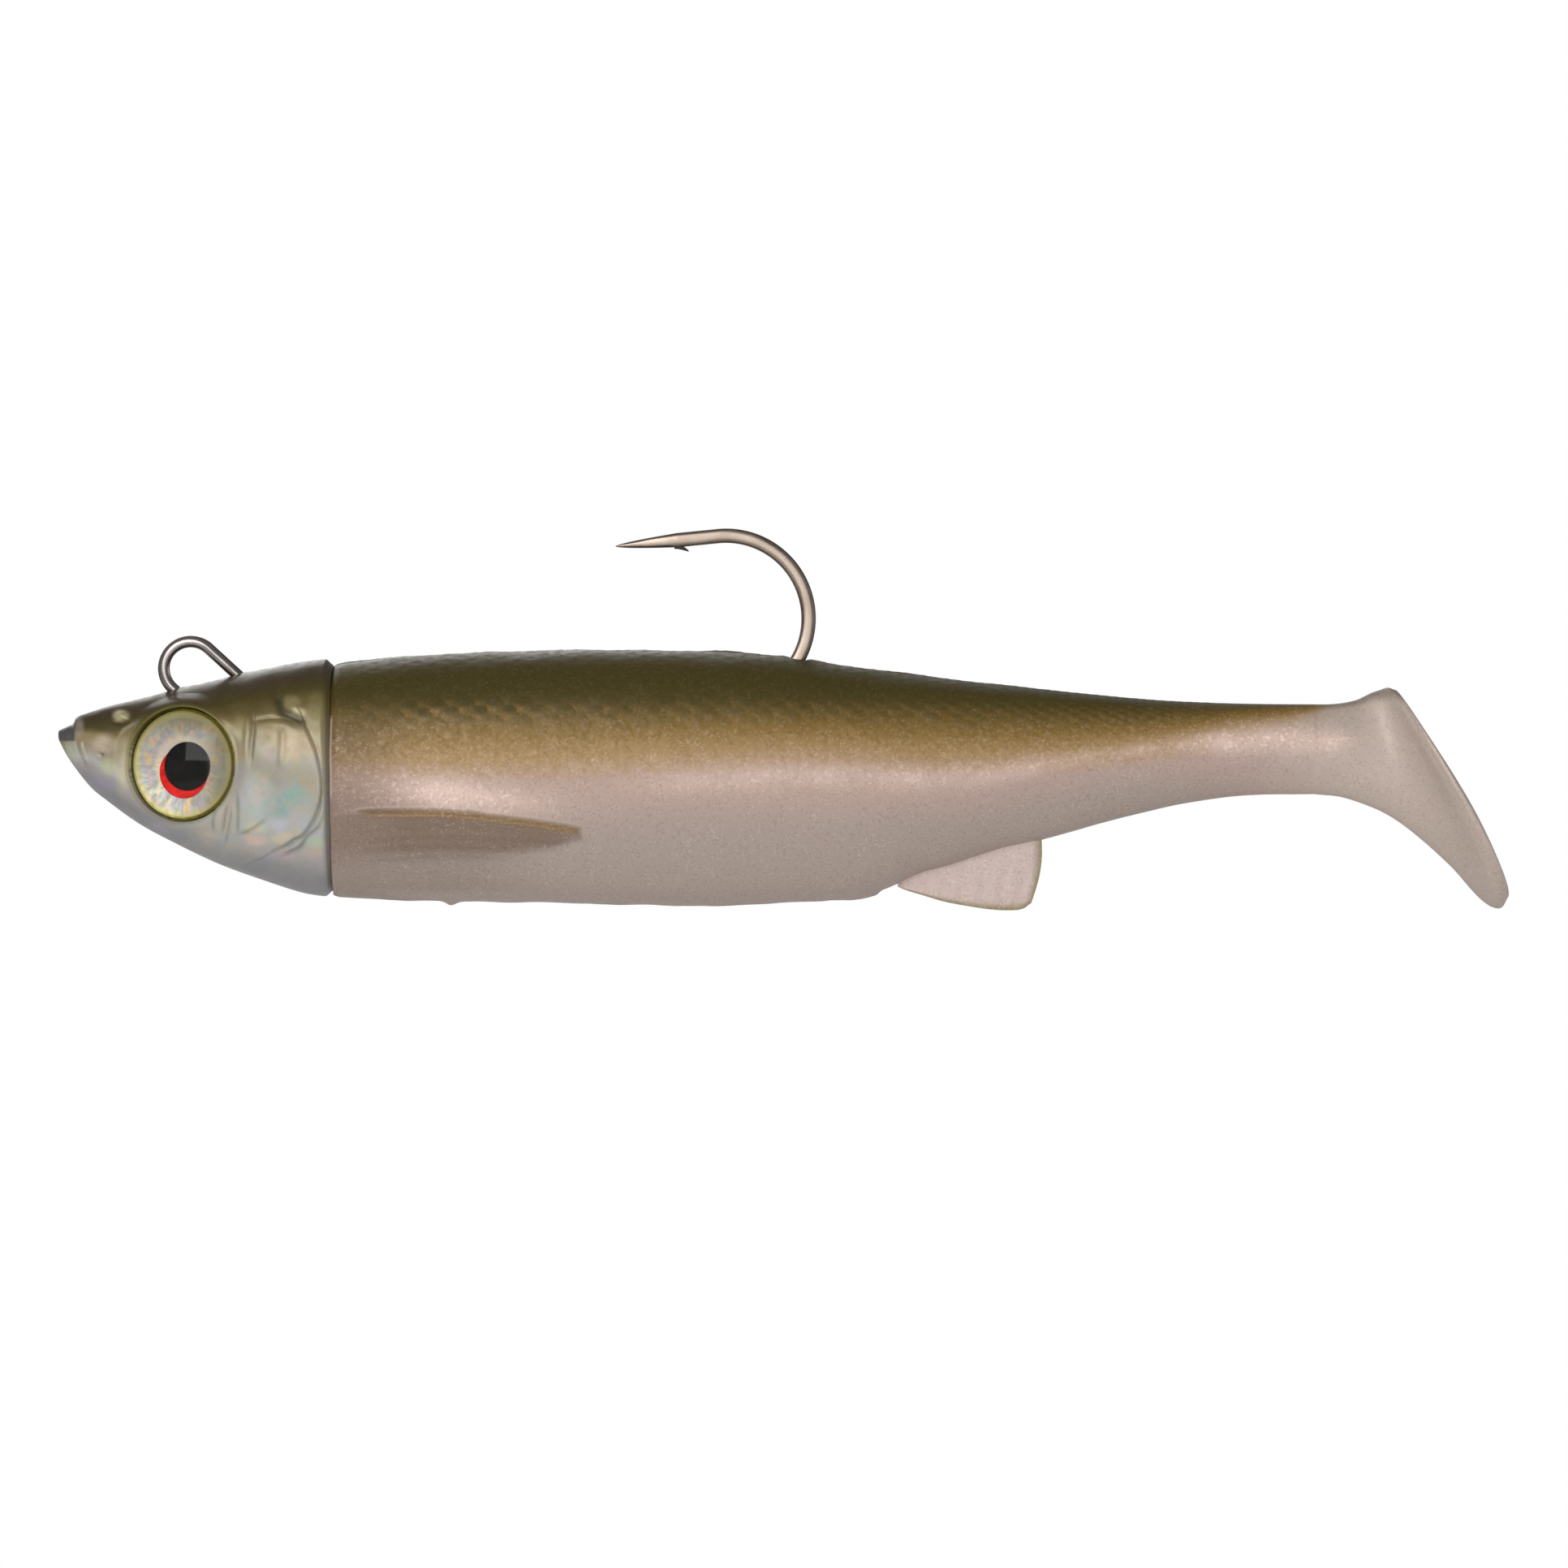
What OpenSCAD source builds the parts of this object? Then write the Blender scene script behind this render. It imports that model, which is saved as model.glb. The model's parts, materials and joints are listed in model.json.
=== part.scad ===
// Paddle-tail swimbait: a painted jig head cast round a hook and a wire line tie, and a soft body with a boot tail.
// Outlines are drawn in the lure's own side view: x runs back from the lower lip, z is height above mid body,
// y is to the lure's right. place() then moves everything so that the origin is the centre of the line tie's loop.

/* [Overall] */
// Length from the lower lip to the tip of the tail
lure_length = 130; // [90:1:180]
// Widest part of the soft body, side to side
body_width = 14.6; // [12.5:0.1:17]

/* [Eyes] */
// Diameter of each stick-on eye
eye_d = 10; // [8:0.1:10]
// Depth of the socket floor below the cheek
eye_recess = 1.6; // [1.2:0.1:1.8]
// Height of the clear dome above the foil
lens_height = 1.9; // [1.2:0.1:2.4]
// Diameter of the printed pupil
pupil_d = 4.1; // [3:0.1:5]

/* [Hook] */
// Diameter of the hook's wire
hook_wire = 1.3; // [1:0.05:1.5]
// Radius of the round bend, to the middle of the wire
bend_r = 7.4; // [6.8:0.1:7.8]
// Slope of the shank, rising towards the bend
shank_slope = 3; // [2:0.5:4]
// Length of the straight, tapered point
point_length = 9.2; // [8:0.1:10]

/* [Line tie] */
// Diameter of the line tie's wire
tie_wire = 1.05; // [0.8:0.05:1.1]
// Radius of the line tie's loop, to the middle of the wire
tie_r = 2.4; // [2.2:0.1:2.5]

/* [Flexing tail] */
// Most that the rear body swings to each side
body_swing = 15; // [5:1:18]
// Most that the tail stem swings to each side
stem_swing = 20; // [5:1:24]
// Most that the paddle swings to each side
paddle_swing = 35; // [10:1:38]
// Gap that stands for the flexing plastic at each hinge line
flex_gap = 0.3; // [0.25:0.05:0.4]

/* [Hidden] */

nominal_length = 130;
lure_scale = lure_length / nominal_length;
sides = 32;             // points round each cross-section
wire_fn = 48;
drawn = 0.05;           // straight lengths of wire are this much thinner than the bends they run into
lap = 0.25;             // and run this far into them
egg = 0.08;             // how much wider a cross-section is above its middle than below
fit_gap = 0.03;         // clearance round what is cast or pushed in
head_end = 24.6;        // flat rear face of the head
body_start = 24.7;

// Side-view outlines and half widths, as [x, value] points joined by smooth curves
head_top = [[0, 4.5], [0.9, 5.0], [2.2, 5.75], [4.2, 6.45], [7.1, 7.15], [10, 7.9], [14.4, 8.95], [18.8, 9.95],
            [21.7, 10.5], [24.6, 10.85]];
head_bottom = [[0, 3.6], [0.9, 1.9], [2.8, -0.6], [4.2, -1.8], [7.1, -3.9], [10, -5.5], [14.4, -7.6],
               [18.8, -9.2], [22, -10.2], [24.6, -10.6]];
head_half = [[0, 0.55], [0.9, 1.2], [2.8, 1.95], [5, 2.7], [8, 3.7], [11.4, 4.75], [16, 5.95], [20, 6.5], [24.6, 6.75]];
body_top = [[24.6, 10.4], [27.5, 10.85], [34, 11.2], [42, 11.5], [50, 11.65], [58, 11.6], [64, 11.15],
            [70, 10.25], [78.4, 9.2], [88.5, 8.1], [97, 7.3], [103, 6.95], [109, 6.83], [112.5, 6.8]];
body_bottom = [[24.6, -10.5], [30, -10.8], [44, -11.1], [56, -11.35], [62, -11.2], [70, -10.7], [75.5, -9.9],
               [80, -8.45], [84, -6.85], [88.5, -5.3], [94.4, -3.7], [100.2, -2.35], [106, -1.5], [112.5, -1.4]];
body_half_share = [[24.6, 0.925], [30, 0.97], [40, 1], [52, 1], [62, 0.945], [70, 0.86], [78, 0.75], [86, 0.63],
                   [94, 0.51], [102, 0.4], [108, 0.32], [112.5, 0.288]];

// Hinge lines of the flexing tail, all upright
body_hinge_x = 75;
stem_hinge_x = 95;
paddle_hinge_x = 112.5;

// The paddle's cross-sections fan out about a point above the stem: [angle, distance from that point]
fan_x = 112.5;
fan_z = 21.5;
paddle_top = [[0, 14.7], [14, 14.83], [20, 14.66], [24, 14.7], [26.3, 14.8], [28.4, 15.4]];
paddle_bottom = [[0, 22.9], [6, 23.3], [12, 24.65], [16, 26.2], [19.4, 28.5], [22.7, 32], [24.9, 35.9],
                 [26.6, 37.2], [28.4, 36.6]];
paddle_half = [[0, 2.1], [8, 1.9], [16, 1.8], [20, 2], [23, 2.7], [25, 3.8], [26.4, 5.2], [27.3, 5.9], [28.4, 6.1]];
paddle_back = 28.4;     // fan angle of the paddle's rim
paddle_bulge = 2.2;     // extra fan angle at the middle of its back face
paddle_egg = 0.22;      // how much wider the paddle is towards its tip

// Anal fin, in side view: its outline starts at the front of its root
fin_thickness = 1;
fin_outline = [[76.5, -10.3], [78.4, -10.75], [81.3, -11.35], [84.2, -11.7], [85.6, -11.75], [86.4, -11.45],
               [86.8, -10.7], [87.4, -8.4], [87.8, -6.9], [87.6, -6.25]];

// Hook: bend centre, then the shank's slope sets the rest
bend_x = 59.8;
bend_z = 14.4;
point_slope = 5.7;      // droop of the point towards its tip
point_taper = 5.6;      // the tapered part of the point, up to its barb
hook_eye_x = 13.9;
hook_eye_r = 2;
hook_eye_wire = 1.15;
barb_length = 1.15;
barb_rise = 0.55;
shank_end = [bend_x + bend_r * sin(shank_slope), bend_z - bend_r * cos(shank_slope)];
hook_eye_z = shank_end[1] - (shank_end[0] - hook_eye_x) * tan(shank_slope);
shank_length = (shank_end[0] - hook_eye_x) / cos(shank_slope) - hook_eye_r;

// Line tie: a U of wire that leans back, with both legs cast into the head
tie_x = 11.85;
tie_z = 9.92;
tie_lean = 42.5;
front_leg = 9;
rear_leg = 8;
foot_length = 1.2;

// Keeper: the collar and barbs that hold the soft body on the head
keeper_r = 2.5;
keeper_length = 12;
keeper_barb_r = 3.3;
keeper_barb_length = 2.6;

// Eyes
eye_x = 11.65;
eye_z = 1.3;
eye_turn = 19;          // how far each eye is turned towards the nose
foil_thickness = 0.15;
print_thickness = 0.05;
pupil_offset = [0.45, -0.15];
red_offset = [0.1, -0.7];

// ---- smooth curves and skins ----
function span_at(table, x) = max([0, for (i = [0 : len(table) - 2]) if (table[i][0] <= x) i]);
function slope_at(table, i) =
    let (a = max(i - 1, 0), b = min(i + 1, len(table) - 1))
    (table[b][1] - table[a][1]) / (table[b][0] - table[a][0]);
function curve(table, x) =
    let (i = span_at(table, x), run = table[i + 1][0] - table[i][0], t = (x - table[i][0]) / run,
         start = slope_at(table, i) * run, end = slope_at(table, i + 1) * run)
    (2 * pow(t, 3) - 3 * t * t + 1) * table[i][1] + (pow(t, 3) - 2 * t * t + t) * start
    + (3 * t * t - 2 * pow(t, 3)) * table[i + 1][1] + (pow(t, 3) - t * t) * end;

function oval(x, top, bottom, half) =
    [for (i = [0 : sides - 1])
        let (a = 360 * i / sides)
        [x, half * cos(a) * (1 + egg * sin(a)), (top + bottom) / 2 + (top - bottom) / 2 * sin(a)]];
function head_ring(x) = oval(x, curve(head_top, x), curve(head_bottom, x), curve(head_half, x));
function body_half(x) = body_width / 2 * curve(body_half_share, x);
function body_ring(x) = oval(x, curve(body_top, x), curve(body_bottom, x), body_half(x));

function fan_point(angle, distance, y) = [fan_x + distance * sin(angle), y, fan_z - distance * cos(angle)];
function paddle_point(angle, a, share) =
    let (top = curve(paddle_top, angle), bottom = curve(paddle_bottom, angle), swell = paddle_egg * angle / paddle_back,
         bulged = angle + paddle_bulge * (1 - share * share))
    fan_point(bulged, (top + bottom) / 2 - share * (bottom - top) / 2 * sin(a),
              share * curve(paddle_half, angle) * cos(a) * (1 - swell * sin(a)));
function paddle_ring(angle, share = 1) = [for (i = [0 : sides - 1]) paddle_point(angle, 360 * i / sides, share)];

function steps(from, to, count) = [for (i = [0 : count]) from + (to - from) * i / count];

// A closed skin through a row of rings, each with the same number of points
module skin(rings) {
    last = len(rings) - 1;
    polyhedron(
        points = [for (ring = rings) each ring],
        faces = [
            [for (i = [0 : sides - 1]) i],
            for (j = [0 : last - 1]) for (i = [0 : sides - 1])
                let (a = j * sides + i, b = j * sides + (i + 1) % sides)
                each [[a, a + sides, b + sides], [a, b + sides, b]],
            [for (i = [sides - 1 : -1 : 0]) last * sides + i]
        ],
        convexity = 6);
}

module place() scale(lure_scale) translate([-tie_x, 0, -tie_z]) children();

// Turns a shape made along +Z so that it runs back along +X and rises by the slope, from a point in the side view
module along(start, slope) translate([start[0], 0, start[1]]) rotate([0, 90 - slope, 0]) children();

// An arc of wire in the side view, from one angle to another, counted from +X towards +Z
module wire_arc(centre, radius, wire, from, to)
    translate([centre[0], 0, centre[1]])
        rotate([90, 0, 0])
            rotate([0, 0, from])
                rotate_extrude(angle = to - from, $fn = 96)
                    translate([radius, 0]) circle(d = wire, $fn = wire_fn);

// ---- hook and line tie, each drawn with an optional extra thickness for the cavity that holds it ----
module hook_shape(extra = 0) {
    translate([hook_eye_x, 0, hook_eye_z])
        rotate([0, -shank_slope, 0])
            rotate_extrude($fn = 96)
                translate([hook_eye_r, 0]) circle(d = hook_eye_wire + 2 * extra, $fn = wire_fn);
    along([shank_end[0] - shank_length * cos(shank_slope), shank_end[1] - shank_length * sin(shank_slope)], shank_slope)
        cylinder(d = hook_wire - drawn + 2 * extra, h = shank_length + lap, $fn = wire_fn);
    wire_arc([bend_x, bend_z], bend_r, hook_wire + 2 * extra, shank_slope - 90, 90 + point_slope);
}

module hook_point() {
    start = [bend_x - bend_r * sin(point_slope), bend_z + bend_r * cos(point_slope)];
    r = (hook_wire - drawn) / 2;
    along(start, point_slope - 180) {
        rotate_extrude($fn = wire_fn)
            polygon([[0, -lap], [r, -lap], [r, point_length - point_taper], [0.05, point_length], [0, point_length]]);
        translate([-r, 0, point_length - point_taper]) barb();
    }
}

module barb()
    rotate([90, 0, 0])
        linear_extrude(height = 0.36, center = true)
            polygon([[0.25, 0.5], [0, 0.05], [-barb_rise, -barb_length], [-barb_rise * 0.45, -barb_length * 0.5],
                     [0.2, -barb_length * 0.3]]);

module tie_shape(extra = 0) {
    wire = tie_wire + 2 * extra;
    normal = [sin(tie_lean), cos(tie_lean)];
    wire_arc([tie_x, tie_z], tie_r, wire, 90 - tie_lean, 270 - tie_lean);
    along([tie_x, tie_z] + tie_r * normal, -tie_lean)
        translate([0, 0, -lap]) cylinder(d = wire - drawn, h = rear_leg + lap + extra, $fn = wire_fn);
    along([tie_x, tie_z] - tie_r * normal, -tie_lean)
        translate([0, 0, -lap]) cylinder(d = wire - drawn, h = front_leg + lap + extra, $fn = wire_fn);
    // A short foot across the end of the front leg locks it in the casting
    translate([tie_x - tie_r * normal[0] + front_leg * cos(tie_lean), 0,
               tie_z - tie_r * normal[1] - front_leg * sin(tie_lean)])
        rotate([90, 0, 0])
            cylinder(d = wire + 0.1, h = 2 * foot_length + 2 * extra, center = true, $fn = wire_fn);
}

module keeper_shape(extra = 0)
    along([head_end - 0.2, shank_end[1] - (shank_end[0] - head_end + 0.2) * tan(shank_slope)], shank_slope) {
        cylinder(r = keeper_r + extra, h = keeper_length + extra, $fn = wire_fn);
        for (k = [1, 2])
            translate([0, 0, k * keeper_length / 2 - keeper_barb_length - 0.4])
                cylinder(r1 = keeper_barb_r + extra, r2 = keeper_r + extra, h = keeper_barb_length, $fn = wire_fn);
    }

// ---- head ----
module head_casting()
    color("darkolivegreen")
        difference() {
            union() {
                skin([for (x = [0, 0.4, 0.9, 1.6, 2.6, 4, 5.6, each steps(7.4, head_end, 11)]) head_ring(x)]);
                keeper_shape();
            }
            hook_shape(fit_gap);
            tie_shape(fit_gap);
            for (side = [-1, 1])
                in_socket(side) cylinder(d = eye_d + 2 * fit_gap, h = 6, $fn = 64);
        }

module line_tie() color("silver") tie_shape();

module hook()
    color("dimgray") {
        hook_shape();
        hook_point();
    }

// ---- eyes: a frame whose +Z points out of the socket; side -1 is the lure's left ----
module in_socket(side)
    translate([eye_x, side * (curve(head_half, eye_x) - eye_recess), eye_z])
        rotate([0, 0, side * eye_turn])
            rotate([-side * 90, 0, 0])
                children();

// The print sits a little forward of and below the foil's centre on both sides
module eye_print(side, diameter, level, offset)
    in_socket(side)
        translate([offset[0], side * -offset[1], foil_thickness + level])
            cylinder(d = diameter, h = print_thickness, $fn = 64);

module eye_foil(side) color("gainsboro") in_socket(side) cylinder(d = eye_d, h = foil_thickness, $fn = 64);
module eye_red_print(side) color("red") eye_print(side, pupil_d + 0.3, 0, red_offset);
module eye_pupil(side) color("black") eye_print(side, pupil_d, print_thickness, pupil_offset);

module eye_lens(side) {
    base = foil_thickness + 2 * print_thickness + 0.02;
    rim = 0.5;
    crown = lens_height - rim;
    dome_r = (eye_d * eye_d / 4 + crown * crown) / (2 * crown);
    color("lightyellow")
        in_socket(side)
            translate([0, 0, base])
                intersection() {
                    cylinder(d = eye_d, h = lens_height, $fn = 64);
                    translate([0, 0, lens_height - dome_r]) sphere(r = dome_r, $fn = 96);
                }
}

// ---- soft body: one moulding, cut at its hinge lines into solids that swing ----
// The front end of a swinging piece is round about its hinge line, and the piece before it is hollowed to suit
module knuckle(x, extra) translate([x, 0, -30]) cylinder(r = body_half(x) + extra, h = 60, $fn = 96);

module before_hinge(x, swing)
    difference() {
        children();
        knuckle(x, flex_gap);
        translate([x - body_half(x) * sin(swing) - flex_gap, -20, -30]) cube([40, 40, 60]);
    }

module after_hinge(x)
    difference() {
        children();
        difference() {
            translate([x - 20, -20, -30]) cube([20, 40, 60]);
            knuckle(x, 0);
        }
    }

module torso()
    color("olivedrab")
        difference() {
            before_hinge(body_hinge_x, body_swing)
                skin([for (x = [body_start, 26, each steps(28, body_hinge_x, 14)]) body_ring(x)]);
            hook_shape(fit_gap);
            keeper_shape(fit_gap);
        }

module rear_body()
    color("darkkhaki")
        before_hinge(stem_hinge_x, stem_swing)
            after_hinge(body_hinge_x)
                skin([for (x = steps(body_hinge_x - 7, stem_hinge_x, 10)) body_ring(x)]);

module tail_stem()
    color("tan")
        before_hinge(paddle_hinge_x, paddle_swing)
            after_hinge(stem_hinge_x)
                skin([for (x = steps(stem_hinge_x - 5, paddle_hinge_x, 9)) body_ring(x)]);

module paddle()
    color("rosybrown")
        after_hinge(paddle_hinge_x)
            skin([
                for (x = steps(paddle_hinge_x - 3, paddle_hinge_x - 0.75, 3)) body_ring(x),
                for (angle = [0, 4, 8, 12, 15, 18, 20.5, 22.5, 24, 25.2, 26.3, 27.4, paddle_back]) paddle_ring(angle),
                for (share = [0.75, 0.45, 0.12]) paddle_ring(paddle_back, share)
            ]);

module anal_fin()
    color("thistle")
        translate([0, fin_thickness / 2, 0])
            rotate([90, 0, 0])
                linear_extrude(height = fin_thickness) polygon(fin_outline);

place() head_casting();
place() line_tie();
place() hook();
place() eye_foil(-1);  // left_eye_foil
place() eye_foil(1);  // right_eye_foil
place() eye_red_print(-1);  // left_eye_red_print
place() eye_red_print(1);  // right_eye_red_print
place() eye_pupil(-1);  // left_eye_pupil
place() eye_pupil(1);  // right_eye_pupil
place() eye_lens(-1);  // left_eye_lens
place() eye_lens(1);  // right_eye_lens
place() torso();
place() rear_body();
place() tail_stem();
place() paddle();
place() anal_fin();
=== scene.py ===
"""Looks for a paddle-tail swimbait: painted jig head, soft body with moulded scales, hook and domed eyes.

Outlines are in millimetres in the lure's own side view, as in the CAD: x runs back from the lower lip, z is
the height above mid body, and y is to the lure's right. to_row() turns them into metres in the row frame.
"""
import json
import math

import bpy
import numpy as np
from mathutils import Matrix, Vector


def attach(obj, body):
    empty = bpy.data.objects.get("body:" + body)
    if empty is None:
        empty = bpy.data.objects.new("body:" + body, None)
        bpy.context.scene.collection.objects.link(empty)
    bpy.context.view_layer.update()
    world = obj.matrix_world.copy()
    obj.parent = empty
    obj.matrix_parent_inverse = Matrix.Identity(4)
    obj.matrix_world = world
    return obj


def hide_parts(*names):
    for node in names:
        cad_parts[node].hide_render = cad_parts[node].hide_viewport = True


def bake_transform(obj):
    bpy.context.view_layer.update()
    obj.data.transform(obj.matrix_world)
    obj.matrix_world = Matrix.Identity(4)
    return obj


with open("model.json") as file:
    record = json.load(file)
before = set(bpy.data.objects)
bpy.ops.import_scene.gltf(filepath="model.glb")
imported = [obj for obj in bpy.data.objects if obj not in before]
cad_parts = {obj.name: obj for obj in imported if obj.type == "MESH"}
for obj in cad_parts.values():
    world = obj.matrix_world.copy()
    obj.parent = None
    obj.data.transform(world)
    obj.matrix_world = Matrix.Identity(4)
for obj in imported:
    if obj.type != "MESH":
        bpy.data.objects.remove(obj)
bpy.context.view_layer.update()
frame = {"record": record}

MM = 0.001
MOUNTS = {m["name"]: m["pos_m"] for m in frame["record"]["mounts"]}
BEND_X, BEND_Z = 59.8, 14.4
DATUM = np.array([MOUNTS["hook_bend"][0] - BEND_X * MM, 0, MOUNTS["hook_bend"][2] - BEND_Z * MM])

chain = np.concatenate

HEAD_END = 24.6
BODY_START = 24.64
STEM_END = 112.5


def to_row(points):
    return np.asarray(points, float) * MM + DATUM


# ---- outlines, as [x, value] points joined by smooth curves ----

def smooth_curve(points):
    x, value = np.array(points, float).T
    slope = np.gradient(value, x)
    slope[1:-1] = (value[2:] - value[:-2]) / (x[2:] - x[:-2])

    def at(q):
        q = np.asarray(q, float)
        i = np.clip(np.searchsorted(x, q, side="right") - 1, 0, len(x) - 2)
        run = x[i + 1] - x[i]
        t = (q - x[i]) / run
        return ((2 * t**3 - 3 * t * t + 1) * value[i] + (t**3 - 2 * t * t + t) * slope[i] * run
                + (3 * t * t - 2 * t**3) * value[i + 1] + (t**3 - t * t) * slope[i + 1] * run)
    return at


head_top = smooth_curve([
    [0, 4.35], [0.9, 4.75], [1.35, 5], [1.6, 5.5], [2.4, 5.85], [4.2, 6.45], [7.1, 7.15], [10, 7.9],
    [14.4, 8.95], [18.8, 9.95], [21.7, 10.5], [24.6, 10.85]])
head_bottom = smooth_curve([
    [0, 3.6], [0.9, 1.9], [2.8, -0.6], [4.2, -1.8], [7.1, -3.9], [10, -5.5], [14.4, -7.6], [18.8, -9.2],
    [22, -10.2], [24.6, -10.6]])
head_half = smooth_curve([
    [0, 0.55], [0.9, 1.2], [2.8, 1.95], [5, 2.7], [8, 3.7], [11.4, 4.75], [16, 5.95], [20, 6.5],
    [24.6, 6.75]])
body_top = smooth_curve([
    [24.6, 10.2], [26.7, 10.42], [29.5, 10.73], [34, 11.06], [42, 11.4], [50, 11.48], [58, 11.34], [64, 11],
    [70, 10.13], [78.4, 9.07], [88.5, 7.98], [97, 7.15], [103, 6.82], [109, 6.71], [112.5, 6.7]])
body_bottom = smooth_curve([
    [24.6, -10.5], [30, -10.75], [44, -10.98], [56, -11.28], [62, -11.14], [70, -10.66], [73, -10.1],
    [75, -9.4], [77.4, -8.4], [80.2, -7.6], [84.2, -6.3], [88.5, -5.3], [94.4, -3.68], [100.2, -2.3],
    [106, -1.48], [112.5, -1.35]])
body_half = smooth_curve([
    [24.6, 6.75], [30, 7.08], [40, 7.3], [52, 7.3], [62, 6.9], [70, 6.28], [78, 5.48], [86, 4.6], [94, 3.72],
    [102, 2.92], [108, 2.34], [112.5, 2.1]])

# The paddle's cross-sections fan out about a point above the stem: [angle, distance from that point]
FAN_X, FAN_Z = 112.5, 21.5
PADDLE_BACK = 28.4
paddle_top = smooth_curve([[0, 14.8], [14, 14.9], [20, 14.7], [24, 14.75], [26.3, 14.85], [28.4, 15.4]])
paddle_bottom = smooth_curve([
    [0, 22.85], [6, 23.25], [12, 24.55], [16, 26.1], [19.4, 28.4], [22.7, 31.85], [24.9, 35.7], [26.6, 37],
    [28.4, 36.45]])
paddle_half = smooth_curve([
    [0, 2.1], [8, 1.9], [16, 1.8], [20, 2], [23, 2.7], [25, 3.8], [26.4, 5.2], [27.3, 5.9], [28.4, 6.1]])


def ease(low, high, value):
    """A smooth step from 0 at low to 1 at high. low may be the greater."""
    t = np.clip((value - low) / (high - low), 0, 1)
    return t * t * (3 - 2 * t)


def bell(gap, width):
    return np.exp(-((gap / width) ** 2))


def spot(x, z, centre, size):
    return np.exp(-(((x - centre[0]) / size[0]) ** 2 + ((z - centre[1]) / size[1]) ** 2))


def ripple(x, z, size, seed):
    """Smooth wandering values between about -1 and 1 that repeat nowhere on the lure."""
    rng = np.random.default_rng(seed)
    total = np.zeros(np.broadcast(x, z).shape)
    for _ in range(7):
        turn, phase, stretch = rng.uniform(0, math.tau), rng.uniform(0, math.tau), rng.uniform(0.6, 1.7)
        total += np.sin((x * math.cos(turn) + z * math.sin(turn)) * math.tau * stretch / size + phase)
    return total / 3.2


def path_offset(x, z, points, count=24):
    """Distance from a smooth line through points, the height above it, and the share of the way along."""
    points = np.array(points, float)
    at, wanted = np.linspace(0, 1, len(points)), np.linspace(0, 1, count)
    path = np.column_stack([smooth_curve(np.column_stack([at, points[:, k]]))(wanted) for k in (0, 1)])
    best = np.full(np.broadcast(x, z).shape, 1e9)
    above, along = np.zeros_like(best), np.zeros_like(best)
    lengths = np.hypot(*np.diff(path, axis=0).T)
    travelled = chain([[0], np.cumsum(lengths)])
    for k, length in enumerate(lengths):
        step = (path[k + 1] - path[k]) / length
        s = np.clip((x - path[k, 0]) * step[0] + (z - path[k, 1]) * step[1], 0, length)
        dx, dz = x - path[k, 0] - s * step[0], z - path[k, 1] - s * step[1]
        distance = np.hypot(dx, dz)
        closer = distance < best
        best = np.where(closer, distance, best)
        above = np.where(closer, dz * step[0] - dx * step[1], above)
        along = np.where(closer, (travelled[k] + s) / travelled[-1], along)
    return best, above, along


# ---- surfaces, as rings of points ----

EGG = 0.08


def turn_angles(count):
    """Angles round a ring, from the right flank over the back to the left flank and under the belly."""
    return np.linspace(0, math.tau, count, endpoint=False)


def oval_rings(x, top, bottom, half, count):
    angle = turn_angles(count)
    x, top, bottom, half = (np.asarray(v, float)[:, None] for v in (x, top, bottom, half))
    return np.stack([x + 0 * angle, half * np.cos(angle) * (1 + EGG * np.sin(angle)),
                     (top + bottom) / 2 + (top - bottom) / 2 * np.sin(angle)], axis=-1)


def paddle_rings(fan, share, count):
    """Cross-sections of the paddle. fan is their angle in degrees. share shrinks them over the back face."""
    angle = turn_angles(count)
    top, bottom, half = (f(fan)[:, None] for f in (paddle_top, paddle_bottom, paddle_half))
    share = np.asarray(share, float)[:, None]
    swell = 0.22 * fan[:, None] / PADDLE_BACK
    bowed = 0.65 * np.cos(angle) ** 2 * ease(14, PADDLE_BACK, fan)[:, None] * share
    bulged = np.radians(fan[:, None] + bowed + 1.5 * (1 - share**2))
    distance = (top + bottom) / 2 - share * (bottom - top) / 2 * np.sin(angle)
    y = share * half * np.cos(angle) * (1 - swell * np.sin(angle))
    return np.stack([FAN_X + distance * np.sin(bulged), y, FAN_Z - distance * np.cos(bulged)], axis=-1)


def outward(rings):
    """Unit normals of a grid of rings."""
    round_it = np.roll(rings, -1, axis=1) - np.roll(rings, 1, axis=1)
    along_it = np.gradient(rings, axis=0)
    normal = np.cross(round_it, along_it)
    return normal / np.maximum(np.linalg.norm(normal, axis=2, keepdims=True), 1e-9)


def heading(degrees):
    """The direction so many degrees above straight back."""
    return np.array([math.cos(math.radians(degrees)), math.sin(math.radians(degrees))])


def arc(centre, radius, start, end, count):
    angle = np.radians(np.linspace(start, end, count))
    return np.column_stack([centre[0] + radius * np.cos(angle), centre[1] + radius * np.sin(angle)])


def sweep(path, radius, count=32, flatten=0):
    """Rings of a wire along a path in the side view. flatten, from 0 to 1, presses its flanks flat."""
    path = np.asarray(path, float)
    radius, flatten = (np.broadcast_to(np.asarray(v, float), len(path))[:, None] for v in (radius, flatten))
    tangent = np.gradient(path, axis=0)
    tangent /= np.linalg.norm(tangent, axis=1, keepdims=True)
    angle = turn_angles(count)
    boxy = 1 - 0.3 * flatten
    inward = radius * np.sign(np.sin(angle)) * np.abs(np.sin(angle)) ** boxy
    sideways = radius * (1 - 0.16 * flatten) * np.sign(np.cos(angle)) * np.abs(np.cos(angle)) ** boxy
    x, z = path[:, :1] - tangent[:, 1:] * inward, path[:, 1:] + tangent[:, :1] * inward
    return np.stack([x, sideways, z], axis=-1)


# ---- meshes ----

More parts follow.
